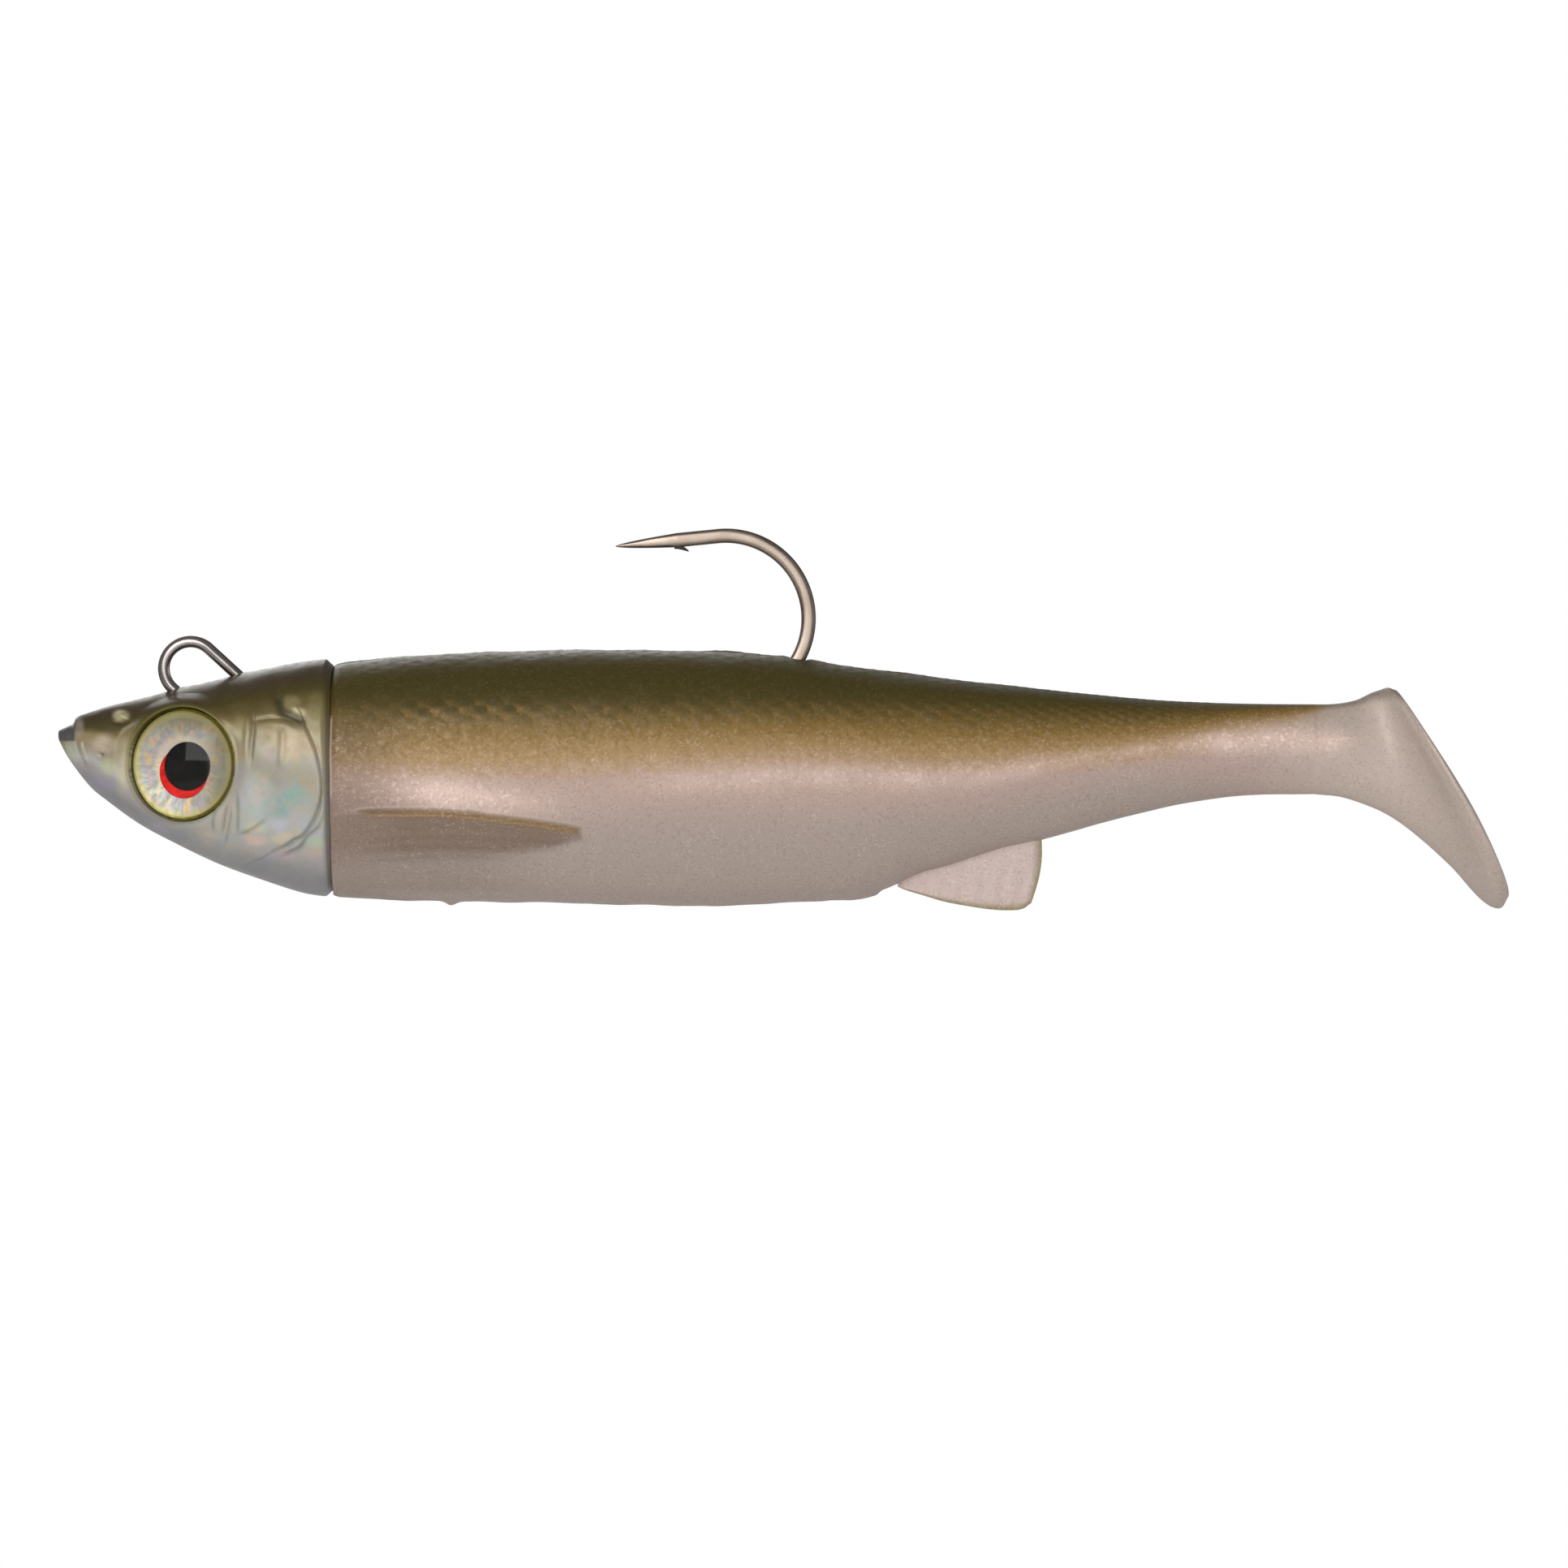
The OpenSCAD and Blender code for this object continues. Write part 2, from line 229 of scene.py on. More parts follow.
def grid_faces(rings, count, caps=(1, 1)):
    """Faces over a grid of rings. caps holds a 1 for each end that gets a flat cap."""
    ring, place = np.meshgrid(np.arange(rings - 1), np.arange(count), indexing="ij")
    a, b = ring * count + place, ring * count + (place + 1) % count
    faces = np.stack([a, b, b + count, a + count], axis=-1).reshape(-1, 4).tolist()
    start, end = list(range(count)), list(range((rings - 1) * count, rings * count))
    return faces + [start[::-1]] * caps[0] + [end] * caps[1]


def joined(parts, hoops=()):
    """Several grids of rings as one mesh's points and faces. A part numbered in hoops has no caps."""
    faces, first = [], 0
    for index, rings in enumerate(parts):
        caps = (index not in hoops,) * 2
        faces += [[first + i for i in face] for face in grid_faces(*rings.shape[:2], caps)]
        first += rings.size // 3
    return chain([rings.reshape(-1, 3) for rings in parts]), faces


def add_to_scene(name, data):
    item = bpy.data.objects.new(name, data)
    bpy.context.scene.collection.objects.link(item)
    return item


def make_piece(name, points, faces, material, attributes):
    """A smooth-shaded object from points in millimetres in the side view's axes."""
    points = np.asarray(points, float).reshape(-1, 3)
    mesh = bpy.data.meshes.new(name)
    mesh.from_pydata(to_row(points).tolist(), [], faces)
    for key, values in {"rest": points, **attributes}.items():
        vector = np.ndim(values) == 2 and np.shape(values)[1] == 3
        field = mesh.attributes.new(key, "FLOAT_VECTOR" if vector else "FLOAT", "POINT")
        field.data.foreach_set("vector" if vector else "value", np.asarray(values, np.float32).ravel())
    mesh.shade_smooth()
    mesh.materials.append(material)
    return add_to_scene(name, mesh)


def head_piece(name, points, faces, material, attributes, slot, node):
    """A piece that is fixed to the head and takes the place of one CAD node."""
    piece = make_piece(name, points, faces, material, attributes)
    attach(piece, "head")
    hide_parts(node)


# ---- materials ----

def srgb(red, green, blue):
    """A colour as it looks on a screen, 0 to 255, as the linear values that the shaders take."""
    values = np.array([red, green, blue]) / 255
    linear = np.where(values <= 0.04045, values / 12.92, ((values + 0.055) / 1.055) ** 2.4)
    return (*linear.tolist(), 1)


class Shader:
    """The node tree of a material or a world, with short calls that add nodes and link them."""

    def __init__(self, name, owners=bpy.data.materials):
        self.owner = owners.new(name)
        self.owner.use_nodes = True
        self.nodes = self.owner.node_tree.nodes
        self.surface = self.nodes.get("Principled BSDF") or self.nodes["Background"]

    def feed(self, socket, value):
        if isinstance(value, bpy.types.NodeSocket):
            self.owner.node_tree.links.new(value, socket)
        else:
            socket.default_value = value

    def add(self, kind, inputs=None, **settings):
        node = self.nodes.new("ShaderNode" + kind)
        for key, value in settings.items():
            setattr(node, key, value)
        for key, value in (inputs or {}).items():
            self.feed(node.inputs[key], value)
        return node

    def set(self, **inputs):
        for key, value in inputs.items():
            self.feed(self.surface.inputs[key.replace("_", " ")], value)

    def value(self, name):
        return self.add("Attribute", attribute_name=name).outputs["Fac"]

    def vector(self, name="rest"):
        return self.add("Attribute", attribute_name=name).outputs["Vector"]

    def math(self, operation, a, b=0, c=0):
        return self.add("Math", {0: a, 1: b, 2: c}, operation=operation).outputs[0]

    def part(self, name, share):
        return self.math("MULTIPLY", self.value(name), share)

    def sway(self, value, spread):
        """A 0 to 1 value, spread round zero."""
        return self.math("MULTIPLY_ADD", value, spread, -spread / 2)

    def remap(self, value, low, high, to_low=0, to_high=1):
        inputs = {"Value": value, "From Min": low, "From Max": high, "To Min": to_low, "To Max": to_high}
        return self.add("MapRange", inputs, interpolation_type="SMOOTHSTEP").outputs["Result"]

    def mix(self, factor, a, b, blend="MIX"):
        node = self.add("Mix", data_type="RGBA", blend_type=blend)
        for index, value in ((0, factor), (6, a), (7, b)):
            self.feed(node.inputs[index], value)
        return node.outputs[2]

    def layers(self, colour, *layers):
        """Lays colours over one another, each given as its share and its red, green and blue."""
        for share, *tone in layers:
            colour = self.mix(share, colour, srgb(*tone))
        return colour

    def ramp(self, factor, *stops):
        """Colours along a value, each given as its place and its red, green and blue."""
        node = self.add("ValToRGB", {"Fac": factor})
        points = node.color_ramp.elements
        while len(points) < len(stops):
            points.new(0.5)
        for point, (position, *tone) in zip(points, stops):
            point.position = position
            point.color = srgb(*tone)
        return node.outputs["Color"]

    def noise(self, size, detail, vector=None):
        """Noise whose lumps are about size millimetres across."""
        inputs = {"Vector": vector or self.vector(), "Scale": 1 / size, "Detail": detail}
        return self.add("TexNoise", inputs).outputs["Fac"]

    def uneven(self, size, detail, low, high):
        """Noise spread over a range."""
        return self.remap(self.noise(size, detail), 0.3, 0.7, low, high)

    def cells(self, size, output="Color"):
        return self.add("TexVoronoi", {"Vector": self.vector(), "Scale": 1 / size}).outputs[output]

    def bump(self, height, distance_mm, strength, **more):
        inputs = {"Height": height, "Distance": distance_mm * MM, "Strength": strength, **more}
        return self.add("Bump", inputs).outputs["Normal"]


def glitter(s, colour, size, density, bright, dark):
    """Tiny flakes in the plastic: painted glints on a few and painted shade on a few."""
    flake = s.add("SeparateColor", {"Color": s.cells(size)}).outputs[0]
    shining = s.remap(flake, 1 - density, 1 - density * 0.5)
    painted_shade_share = s.remap(flake, density * 1.2, density * 0.7)
    colour = s.mix(s.math("MULTIPLY", shining, bright), colour, srgb(255, 240, 226), "SCREEN")
    return s.mix(s.math("MULTIPLY", painted_shade_share, dark), colour, srgb(150, 122, 104), "MULTIPLY")


def soft_body_material():
    """Pearl plastisol that turns gold and then dark olive towards the back."""
    s = Shader("pearl_plastisol")
    drift, specks = s.sway(s.noise(1.3, 4), 0.12), s.sway(s.noise(0.3, 2), 0.16)
    paint, painted_highlight = s.value("paint"), s.value("painted_highlight")
    level = s.math("MULTIPLY_ADD", s.math("ADD", drift, specks), s.remap(paint, 0, 0.12), paint)
    colour = s.ramp(
        level, (0, 184, 160, 150), (0.14, 178, 149, 122), (0.3, 164, 133, 88), (0.48, 137, 107, 52),
        (0.66, 102, 83, 37), (0.82, 80, 68, 26), (1, 74, 64, 22))
    cloud = s.remap(s.noise(3.2, 3), 0.35, 0.65)
    colour = s.layers(
        colour, (s.part("belly", 0.85), 173, 158, 148), (s.part("tail", 0.9), 192, 176, 164),
        # painted highlight on the flank
        (s.math("MULTIPLY", s.math("MULTIPLY_ADD", cloud, 0.5, 0.75), painted_highlight), 226, 198, 186),
        # the fin's face, in a darker tone and painted shade, and its ochre edge
        (s.part("fin_tone_and_shade", 0.8), 124, 104, 86), (s.part("edge", 0.95), 134, 104, 52),
        # painted shade just behind the head
        (s.part("shade", 0.5), 150, 124, 108))
    # Painted shade: the body darker still just behind the head.
    colour = s.mix(s.value("shade_behind_head"), colour, srgb(204, 202, 196), "MULTIPLY")
    colour = s.mix(s.part("sheen", 0.45), colour, s.mix(cloud, srgb(96, 84, 74), srgb(84, 86, 66)))
    dullness = s.remap(paint, 0.35, 0.8, 1, 0.2)
    # Painted glints: bright flecks, thickest in the painted highlight's band.
    band = s.math("MULTIPLY_ADD", painted_highlight, 0.6, s.remap(paint, 0.02, 0.2, 0, 0.07))
    fleck_glint = s.math("MULTIPLY", s.remap(s.noise(0.42, 2), 0.53, 0.66), s.math("MULTIPLY", band, dullness))
    colour = s.layers(colour, (fleck_glint, 248, 230, 216))
    sparkle = s.math("MULTIPLY", s.remap(s.noise(2.2, 2), 0.35, 0.7, 0.04, 0.13), dullness)
    colour = glitter(s, colour, 0.15, 0.12, sparkle, s.math("MULTIPLY", dullness, 0.18))
    # painted highlight along the body's front lip
    colour = s.layers(colour, (s.part("lip", 0.8), 206, 194, 184))
    s.set(Base_Color=colour, Metallic=0.12, Roughness=s.uneven(0.6, 2, 0.4, 0.52), Specular_IOR_Level=0.28,
          Subsurface_Weight=0.1, Subsurface_Radius=(1, 0.75, 0.6), Subsurface_Scale=0.0012, Coat_Weight=0.06,
          Coat_Roughness=0.25)
    grain = s.bump(s.noise(0.16, 2), 0.01, 0.4)
    s.set(Normal=s.bump(s.cells(0.45, "Distance"), 0.015, 0.2, Normal=grain))
    return s.owner


def head_material():
    """Olive enamel over an iridescent pearl base coat, under clear lacquer."""
    s = Shader("pearl_enamel")
    colour = s.ramp(
        s.math("ADD", s.value("paint"), s.sway(s.noise(1.5, 4), 0.1)), (0.08, 138, 137, 138),
        (0.2, 164, 158, 154), (0.32, 182, 180, 172), (0.42, 160, 148, 128), (0.54, 144, 130, 94),
        (0.64, 132, 118, 78), (0.74, 106, 92, 52), (0.86, 80, 69, 30), (1, 70, 58, 38))
    blotches = s.remap(s.noise(1.1, 2), 0.3, 0.6, 0.55, 1)
    colour = s.mix(s.part("tinted", blotches), colour, s.vector("tint"))
    shimmer = s.ramp(
        s.noise(1.8, 2), (0.34, 206, 176, 160), (0.43, 196, 188, 158), (0.5, 170, 182, 170),
        (0.57, 164, 178, 186), (0.66, 184, 174, 194))
    colour = s.mix(s.part("shimmer", 0.26), colour, shimmer)
    # ink: stain in the grooves and the pore, and painted shadow round the eyes and at the head's rear edge
    colour = s.layers(colour, (s.value("rim"), 124, 120, 56), (s.value("ink"), 66, 58, 34),
                      (s.value("nose"), 86, 83, 84))
    colour = glitter(s, colour, 0.1, 0.08, 0.02, 0.1)
    s.set(Base_Color=colour, Metallic=0.15, Roughness=s.uneven(0.8, 3, 0.28, 0.42), Specular_IOR_Level=0.32,
          Coat_Weight=0.13, Coat_Roughness=0.18, Normal=s.bump(s.noise(0.3, 3), 0.008, 0.4))
    return s.owner


def fin_material():
    """The thin anal fin: the same plastisol, paler where light passes through it."""
    s = Shader("fin_plastisol")
    tone = s.math("ADD", s.value("edge"), s.sway(s.noise(0.9, 3), 0.3))
    colour = s.ramp(tone, (0, 206, 186, 178), (0.6, 198, 180, 168), (1, 160, 146, 110))
    s.set(Base_Color=glitter(s, colour, 0.15, 0.12, 0.16, 0.2), Roughness=s.uneven(0.6, 2, 0.38, 0.5),
          Subsurface_Weight=0.2, Subsurface_Radius=(1, 0.75, 0.6), Subsurface_Scale=0.0012,
          Specular_IOR_Level=0.35, Normal=s.bump(s.noise(0.16, 2), 0.01, 0.4))
    return s.owner


def wire_material(name, light, dark, edge, roughness):
    """Drawn wire: fine streaks along it, tarnish in patches, and painted shade at its edges."""
    s = Shader(name)
    streaks = s.noise(0.14, 3, s.vector("drawn"))
    tone = s.math("MULTIPLY_ADD", streaks, 0.5, s.math("MULTIPLY", s.noise(2.2, 3), 0.5))
    bright = [BRIGHTEST * value for value in light]
    colour = s.ramp(tone, (0.26, *dark), (0.59, *light), (0.8, *bright))
    # Painted shade: darker, less metallic colour at the wire's edges, under the point and over the barb.
    painted_shade_share = s.remap(s.math("ADD", s.value("edge"), s.sway(streaks, 0.12)), 0.7, 0.9, 0, 0.9)
    s.set(Base_Color=s.layers(colour, (painted_shade_share, *edge)), Metallic=s.math("SUBTRACT", 1, painted_shade_share),
          Specular_IOR_Level=0.15, Roughness=s.remap(streaks, 0.3, 0.7, roughness * 0.85, roughness * 1.2),
          Normal=s.bump(streaks, 0.0015, 0.4))
    return s.owner


def foil_material():
    """Silver foil printed with fine rays of faint colours in a yellow-green rim; painted shade on its top,
    rear and edge.
    """
    s = Shader("holographic_foil")
    radius, foil_shade = s.value("radius"), s.value("foil_shade")
    rays = s.noise(0.3, 3, s.vector("spoke"))
    colour = s.ramp(
        s.noise(1.3, 2), (0.32, 178, 144, 134), (0.42, 166, 155, 134), (0.5, 136, 146, 142),
        (0.58, 148, 136, 152), (0.68, 174, 152, 108))
    colour = s.layers(
        colour, (s.remap(rays, 0.4, 0.64, 0, 0.5), 118, 108, 96),
        # painted shade over the upper and rear parts
        (s.remap(radius, 2.1, 2.8, 0.45, 0), 204, 186, 166), (foil_shade, 108, 101, 80),
        (s.remap(radius, 3.8, 4.4, 0, 0.55), 168, 156, 108),
        (s.math("MULTIPLY", foil_shade, s.remap(radius, 3.9, 4.15)), 138, 132, 100),
        # the rim, and a painted shadow line at the dome's edge
        (s.remap(radius, 4.46, 4.54), 126, 122, 62), (s.remap(radius, 4.67, 4.75), 44, 40, 20))
    s.set(Base_Color=colour, Metallic=0.45, Roughness=s.remap(rays, 0.3, 0.7, 0.3, 0.5),
          Normal=s.bump(rays, 0.012, 0.6))
    return s.owner


def print_material(name, base, worn):
    """Eye ink, with a faint mottle."""
    s = Shader(name)
    s.set(Base_Color=s.mix(s.remap(s.noise(0.5, 3), 0.35, 0.7), srgb(*base), srgb(*worn)),
          Specular_IOR_Level=0.06, Roughness=s.uneven(0.3, 2, 0.4, 0.55))
    return s.owner


def lens_material():
    """Clear domed resin, cast on to the foil, with the slightest unevenness. Only its dome bends the view."""
    s = Shader("clear_resin")
    edge = s.remap(s.value("radius"), 3.6, 5)
    s.set(Base_Color=s.ramp(edge, (0, 255, 255, 255), (0.9, 236, 234, 206), (0.955, 112, 100, 52)),
          Roughness=s.uneven(2, 2, 0.04, 0.08), Transmission_Weight=1, IOR=1.45,
          Specular_Tint=(0.3, 0.3, 0.3, 1), Normal=s.bump(s.noise(1.4, 1), 0.004, 0.15))
    clear = s.add("BsdfTransparent", {"Color": (0.98, 0.98, 0.95, 1)})
    passes = s.math("MAXIMUM", s.add("LightPath").outputs["Is Shadow Ray"],
                    s.add("NewGeometry").outputs["Backfacing"])
    either = s.add("MixShader", {0: passes, 1: s.surface.outputs[0], 2: clear.outputs[0]})
    s.feed(s.nodes["Material Output"].inputs["Surface"], either.outputs[0])
    return s.owner


# ---- soft body ----

SCALE_PITCH, SCALE_ROWS, SCALE_HEIGHT = 2.55, 72, 0.09
SCALE_LONG, SCALE_WIDE = 0.7, 1.3
BODY_AROUND, BODY_STEP = 288, 0.22
LIP = 0.9
SKIN_CUTS = (85, 104)
HOOK_EXIT_X = 66.3
FIN_HEIGHT, FIN_LEDGE = 0.95, 0.42
STREAK_Z, NICK_X = 2.6, 35.2
# Centre of the painted highlight on the flank just behind the head.
FRONT_HIGHLIGHT = (36, -1.5)
LEVEL_GOLD, LEVEL_OLIVE = 0.3, 0.66  # paint: 0 is pearl, and 1 the darkest olive

FIN_RIDGE = [[25.6, -3.3], [27.6, -3.05], [31.6, -2.95], [35.6, -3.05], [39.7, -3.5], [43.2, -3.95],
             [46.5, -4.5]]
fin_depth = smooth_curve([[0, 4.6], [0.3, 4.7], [0.6, 4.2], [0.8, 3.1], [0.92, 2.2], [1, 1.1]])
olive_line = smooth_curve([
    [24, 5.9], [45, 6.2], [62, 6.3], [80, 6.1], [95, 5.8], [106, 6.4], [112, 7.1], [116, 8.7], [131, 14]])
gold_line = smooth_curve([
    [24, 1.9], [45, 2.1], [58, 2.7], [68, 3], [80, 2.4], [90, 2.8], [98, 3.6], [106, 4.9], [112, 5.9],
    [116, 7.6], [131, 13]])
# Height of the painted highlight's band along the flank.
highlight_line = smooth_curve([
    [24, -1.5], [45, -1.2], [56, -0.3], [68, 0.3], [80, 0], [90, 1.6], [98, 2.8], [106, 3.5], [113, 3.6],
    [131, 3.4]])


def scale_lattice(x, around):
    """Overlapping scales: each point's height, from 0 in front to 1 behind, and its place on its scale."""
    girth = body_half(np.minimum(x, STEM_END)) / body_half(45)
    along = chain([[0], np.cumsum(np.diff(x) / (SCALE_PITCH * (0.35 + 0.65 * girth[1:])))])[:, None]
    row_at = around[None, :] / math.tau * SCALE_ROWS
    nearest = np.full((len(x), len(around)), 1e9)
    back, up = np.zeros_like(nearest), np.zeros_like(nearest)
    for row_step in (-1, 0, 1, 2):
        row = np.floor(row_at) + row_step
        shift = np.mod(row, 2) * 0.5
        for column_step in (-1, 0, 1):
            centre = np.floor(along - shift) + column_step + shift
            backward, upward = (along - centre) / SCALE_LONG, (row_at - row) / SCALE_WIDE
            front_most = (backward**2 + upward**2 < 1) & (centre < nearest)
            nearest = np.where(front_most, centre, nearest)
            back = np.where(front_most, backward, back)
            up = np.where(front_most, upward, up)
    return (1 + back) / 2, back, up


def fin_relief(x, z, flank):
    """The moulded pectoral fin on each flank: its height, masks of its face (darker tone and painted shade)
    and upper edge.
    """
    gap, above, along = path_offset(x, z, FIN_RIDGE)
    depth = fin_depth(along)
    below = np.clip(-above, 0, None)
    ends = ease(0, 0.16, along) * flank
    face = np.where(above > 0, 1 - ease(0, FIN_LEDGE, above), np.clip(1 - below / depth, 0, 1) ** 0.9)
    past_end = np.clip(gap - np.abs(above), 0, None)
    inside = ease(0.35, 0, past_end)
    rays = 0.05 * np.sin(below * 6.5 + along * 7) * ease(0.5, 1.3, below) * (face > 0.05)
    height = (FIN_HEIGHT * (1 - 0.35 * along) * face + rays) * ends * inside
    # The fin's face: a darker tone and painted shade under its ridge.
    fin_tone_and_shade = ease(0.05, -0.1, above) * ease(0, 0.4, 1 - below / depth) * flank
    fin_tone_and_shade *= 0.3 + 0.7 * ease(0.02, 0.3, along)
    fin_tone_and_shade *= ease(1.2, 0, past_end + 2 * ease(0.85, 1.3, along))
    edge = bell(above - 0.05, 0.24) * ease(0.06, 0.14, along) * inside * flank
    return height, fin_tone_and_shade, edge


def seam_relief(x, around, top_angle, seed):
    """The mould's parting line along the back or belly: a thin, wandering flash with one side proud."""
    wander = 0.07 * ripple(x[:, None], 0, 19, seed)
    off = (around[None, :] - top_angle - wander + math.pi) % math.tau - math.pi
    flash = bell(off, 0.024) * (0.55 + 0.45 * ripple(x[:, None], 0, 7, seed + 1))
    proud = 0.5 * (1 + np.tanh(off / 0.03)) * np.exp(-np.abs(off) / 0.25)
    return (0.13 * flash + 0.07 * proud) * (1 - 0.85 * ease(76, 92, x))[:, None]


def skin_rings():
    """The body's rings before relief, each one's place along the body, and its angle in the paddle's fan."""
    x = chain([np.linspace(BODY_START, BODY_START + LIP, 9)[:-1],
                        np.arange(BODY_START + LIP, STEM_END, BODY_STEP)])
    inset = 0.5 * (1 - np.sqrt(np.clip(1 - (1 - (x - BODY_START) / LIP).clip(0) ** 2, 0, 1)))
    body = oval_rings(x, body_top(x) - inset, body_bottom(x) + 0.6 * inset, body_half(x) - 0.7 * inset,
                      BODY_AROUND)
    fan = chain([np.linspace(0.4, 20, 44), np.linspace(20.2, 27, 36),
                          np.linspace(27.05, PADDLE_BACK, 16)])
    corner = np.linspace(0, math.pi / 2, 11)[1:]
    shoulder = 1 - 0.075 * (1 - np.cos(corner))
    share = chain([np.ones(len(fan)), shoulder, np.linspace(shoulder[-1], 0.02, 34)[1:]])
    fan = chain([fan, PADDLE_BACK + 0.315 * np.sin(corner), np.full(33, PADDLE_BACK + 0.315)])
    place = chain([x, STEM_END + fan * 0.45 + (1 - share) * 6])
    return place, chain([body, paddle_rings(fan, share, BODY_AROUND)]), chain([0 * x, fan])


def skin_surface():
    """The whole soft body as one grid of rings, with what its material needs at each point."""
    around = turn_angles(BODY_AROUND)
    place, rings, fan = skin_rings()
    sine, side = np.sin(around)[None, :], np.abs(np.cos(around))[None, :]
    along = place[:, None]
    px, py, pz = np.moveaxis(rings, -1, 0)
    flank = ease(0.35, 0.55, side) + 0 * px

    scale, back, up = scale_lattice(place, around)
    seen = ease(-0.4, 0.1, sine) * ease(25.5, 28, along) * ease(110, 97, along)
    height = SCALE_HEIGHT * seen * (scale - 0.5)
    fin, fin_tone_and_shade, edge = fin_relief(px, pz, flank)
    height = height * (1 - np.clip(fin * 2, 0, 0.8)) + fin
    seams = seam_relief(place, around, math.pi / 2, 21) + seam_relief(place, around, 1.5 * math.pi, 31)
    height += ease(112, 104, along) * seams
    height += 0.025 * ripple(px, pz + py, 6.5, 11) * (1 - 0.8 * ease(76, 92, along))
    height -= 0.05 * bell(pz - (STREAK_Z - 0.012 * (px - 25)), 0.14) * flank * seen
    exit_gap = np.hypot(px - HOOK_EXIT_X, py)
    height += (sine > 0.5) * bell(exit_gap, 1.5) * (0.2 - 0.55 * bell(exit_gap, 0.85))
    ending = ease(69, 72, along) * ease(73.8, 73.1, along)
    height += (0.3 * ending + 0.35 * bell(along - NICK_X, 0.55)) * bell(sine + 1, 0.012)
    welt = ease(26.5, 27.1, fan)[:, None] * ease(27.9, 27.5, fan)[:, None]
    height -= 0.09 * welt * ease(0.3, 0.6, side)

    gold, olive = gold_line(px), olive_line(px)
    between = LEVEL_GOLD + (LEVEL_OLIVE - LEVEL_GOLD) * (pz - gold) / (olive - gold)
    level = np.where(pz > gold, between, LEVEL_GOLD + 0.3 * (pz - gold) / 2.4)
    level = np.where(pz > olive, LEVEL_OLIVE + (1 - LEVEL_OLIVE) * (pz - olive) / 2, level)
    border = bell(pz - olive - 0.2, 1) * seen * (0.4 + 0.6 * ease(30, 33, along) * ease(43, 41, along))
    marks = 0.22 * spot(back, up, (0.45, -0.35), (0.35, 0.35)) - 0.2 * spot(back, up, (0.2, 0.35), (0.4, 0.4))
    level = np.clip(np.clip(level, 0, 1) + border * marks + 0.1 * (scale - 0.5) * seen, 0, 1)
    # Painted highlight: a bright pearl spot behind the head and a band along the flank, where the lamps light
    # it.
    painted_highlight = spot(px, pz + 0.1 * (px - FRONT_HIGHLIGHT[0]), FRONT_HIGHLIGHT, (7.5, 1.3)) * (1 - fin_tone_and_shade)
    on_stem = ease(98, 106, along) * ease(119, 114, along)
    width = 1 - 0.35 * ease(82, 92, along) + 0.45 * on_stem
    strength = width * (0.38 + 0.37 * on_stem) * ease(48, 60, along) * ease(124, 114, along)
    painted_highlight += strength * bell(pz - highlight_line(px), width) * (1 - fin_tone_and_shade)
    belly = ease(-1.5, -4.5, pz - 3.2 * ease(78, 98, along)) * ease(114, 100, along)
    tail_gold = ease(gold - 0.6, gold + 0.4, pz) * ease(118, 112, along)
    # Painted highlight: a thin pale line round the body's front lip, at the head.
    lip = bell(px - BODY_START - 0.12, 0.1) * flank * ease(5.8, 5.2, pz) * ease(-2.2, -1.2, pz)
    # Painted shade on the body just behind the head, and on the front of the belly.
    shade_behind_head = ease(34, 26, px) * ease(6.5, 3.5, pz) * (0.5 + 0.5 * ease(0, 3, pz))
    low_shade_behind_head = ease(46, 34, px) * ease(-5.5, -7.5, pz) * ease(-10.5, -9.5, pz)
    fields = {"paint": level * (1 - edge), "fin_tone_and_shade": fin_tone_and_shade, "edge": edge, "painted_highlight": np.clip(painted_highlight, 0, 1),
              "belly": belly * (1 - 0.5 * fin_tone_and_shade), "tail": ease(104, 116, along) * (1 - tail_gold),
              # shade: painted shade just behind the head
              "shade": ease(34, 25, px) * ease(3, 0, pz) * ease(-9, -5, pz), "lip": lip,
              "shade_behind_head": np.maximum(shade_behind_head, 0.45 * low_shade_behind_head), "sheen": ease(0.86, 0.97, sine)}
    return place, rings + outward(rings) * height[..., None], fields


def build_soft_body():
    """The skin is one surface in three pieces, one for each hinge line."""
    material = soft_body_material()
    place, rings, fields = skin_surface()
    first, second = (int(np.searchsorted(place, cut)) for cut in SKIN_CUTS)
    parts = [  # name, rings, caps, CAD nodes, joint, bodies, and reach of the bend to each side
        ("body_skin_front", (0, first + 1), (1, 0), ["torso"], "body_flex", ("head", "rear_body"), 6.2),
        ("body_skin_middle", (first, second + 1), (0, 0), ["rear_body"], "stem_flex",
         ("rear_body", "tail_stem"), 6),
        ("tail_skin", (second, len(rings)), (0, 1), ["tail_stem", "paddle"], "paddle_kick",
         ("tail_stem", "paddle"), 5),
    ]
    for name, chosen, caps, nodes, joint, bodies, reach in parts:
        points = rings[slice(*chosen)]
        values = {key: np.broadcast_to(field, rings.shape[:2])[slice(*chosen)].ravel()
                  for key, field in fields.items()}
        piece = make_piece(name, points, grid_faces(*points.shape[:2], caps), material, values)
        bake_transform(piece)
        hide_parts(*nodes)


# ---- anal fin ----

FIN_ROOT = ((75, -8.5), (88, -4.5))
FIN_TIP = (75.2, 87.15)
fin_lower = smooth_curve([
    [0, -9.65], [0.06, -9.95], [0.17, -10.35], [0.34, -10.95], [0.51, -11.35], [0.7, -11.68], [0.85, -11.75],
    [0.935, -11.62], [1, -11.1]])


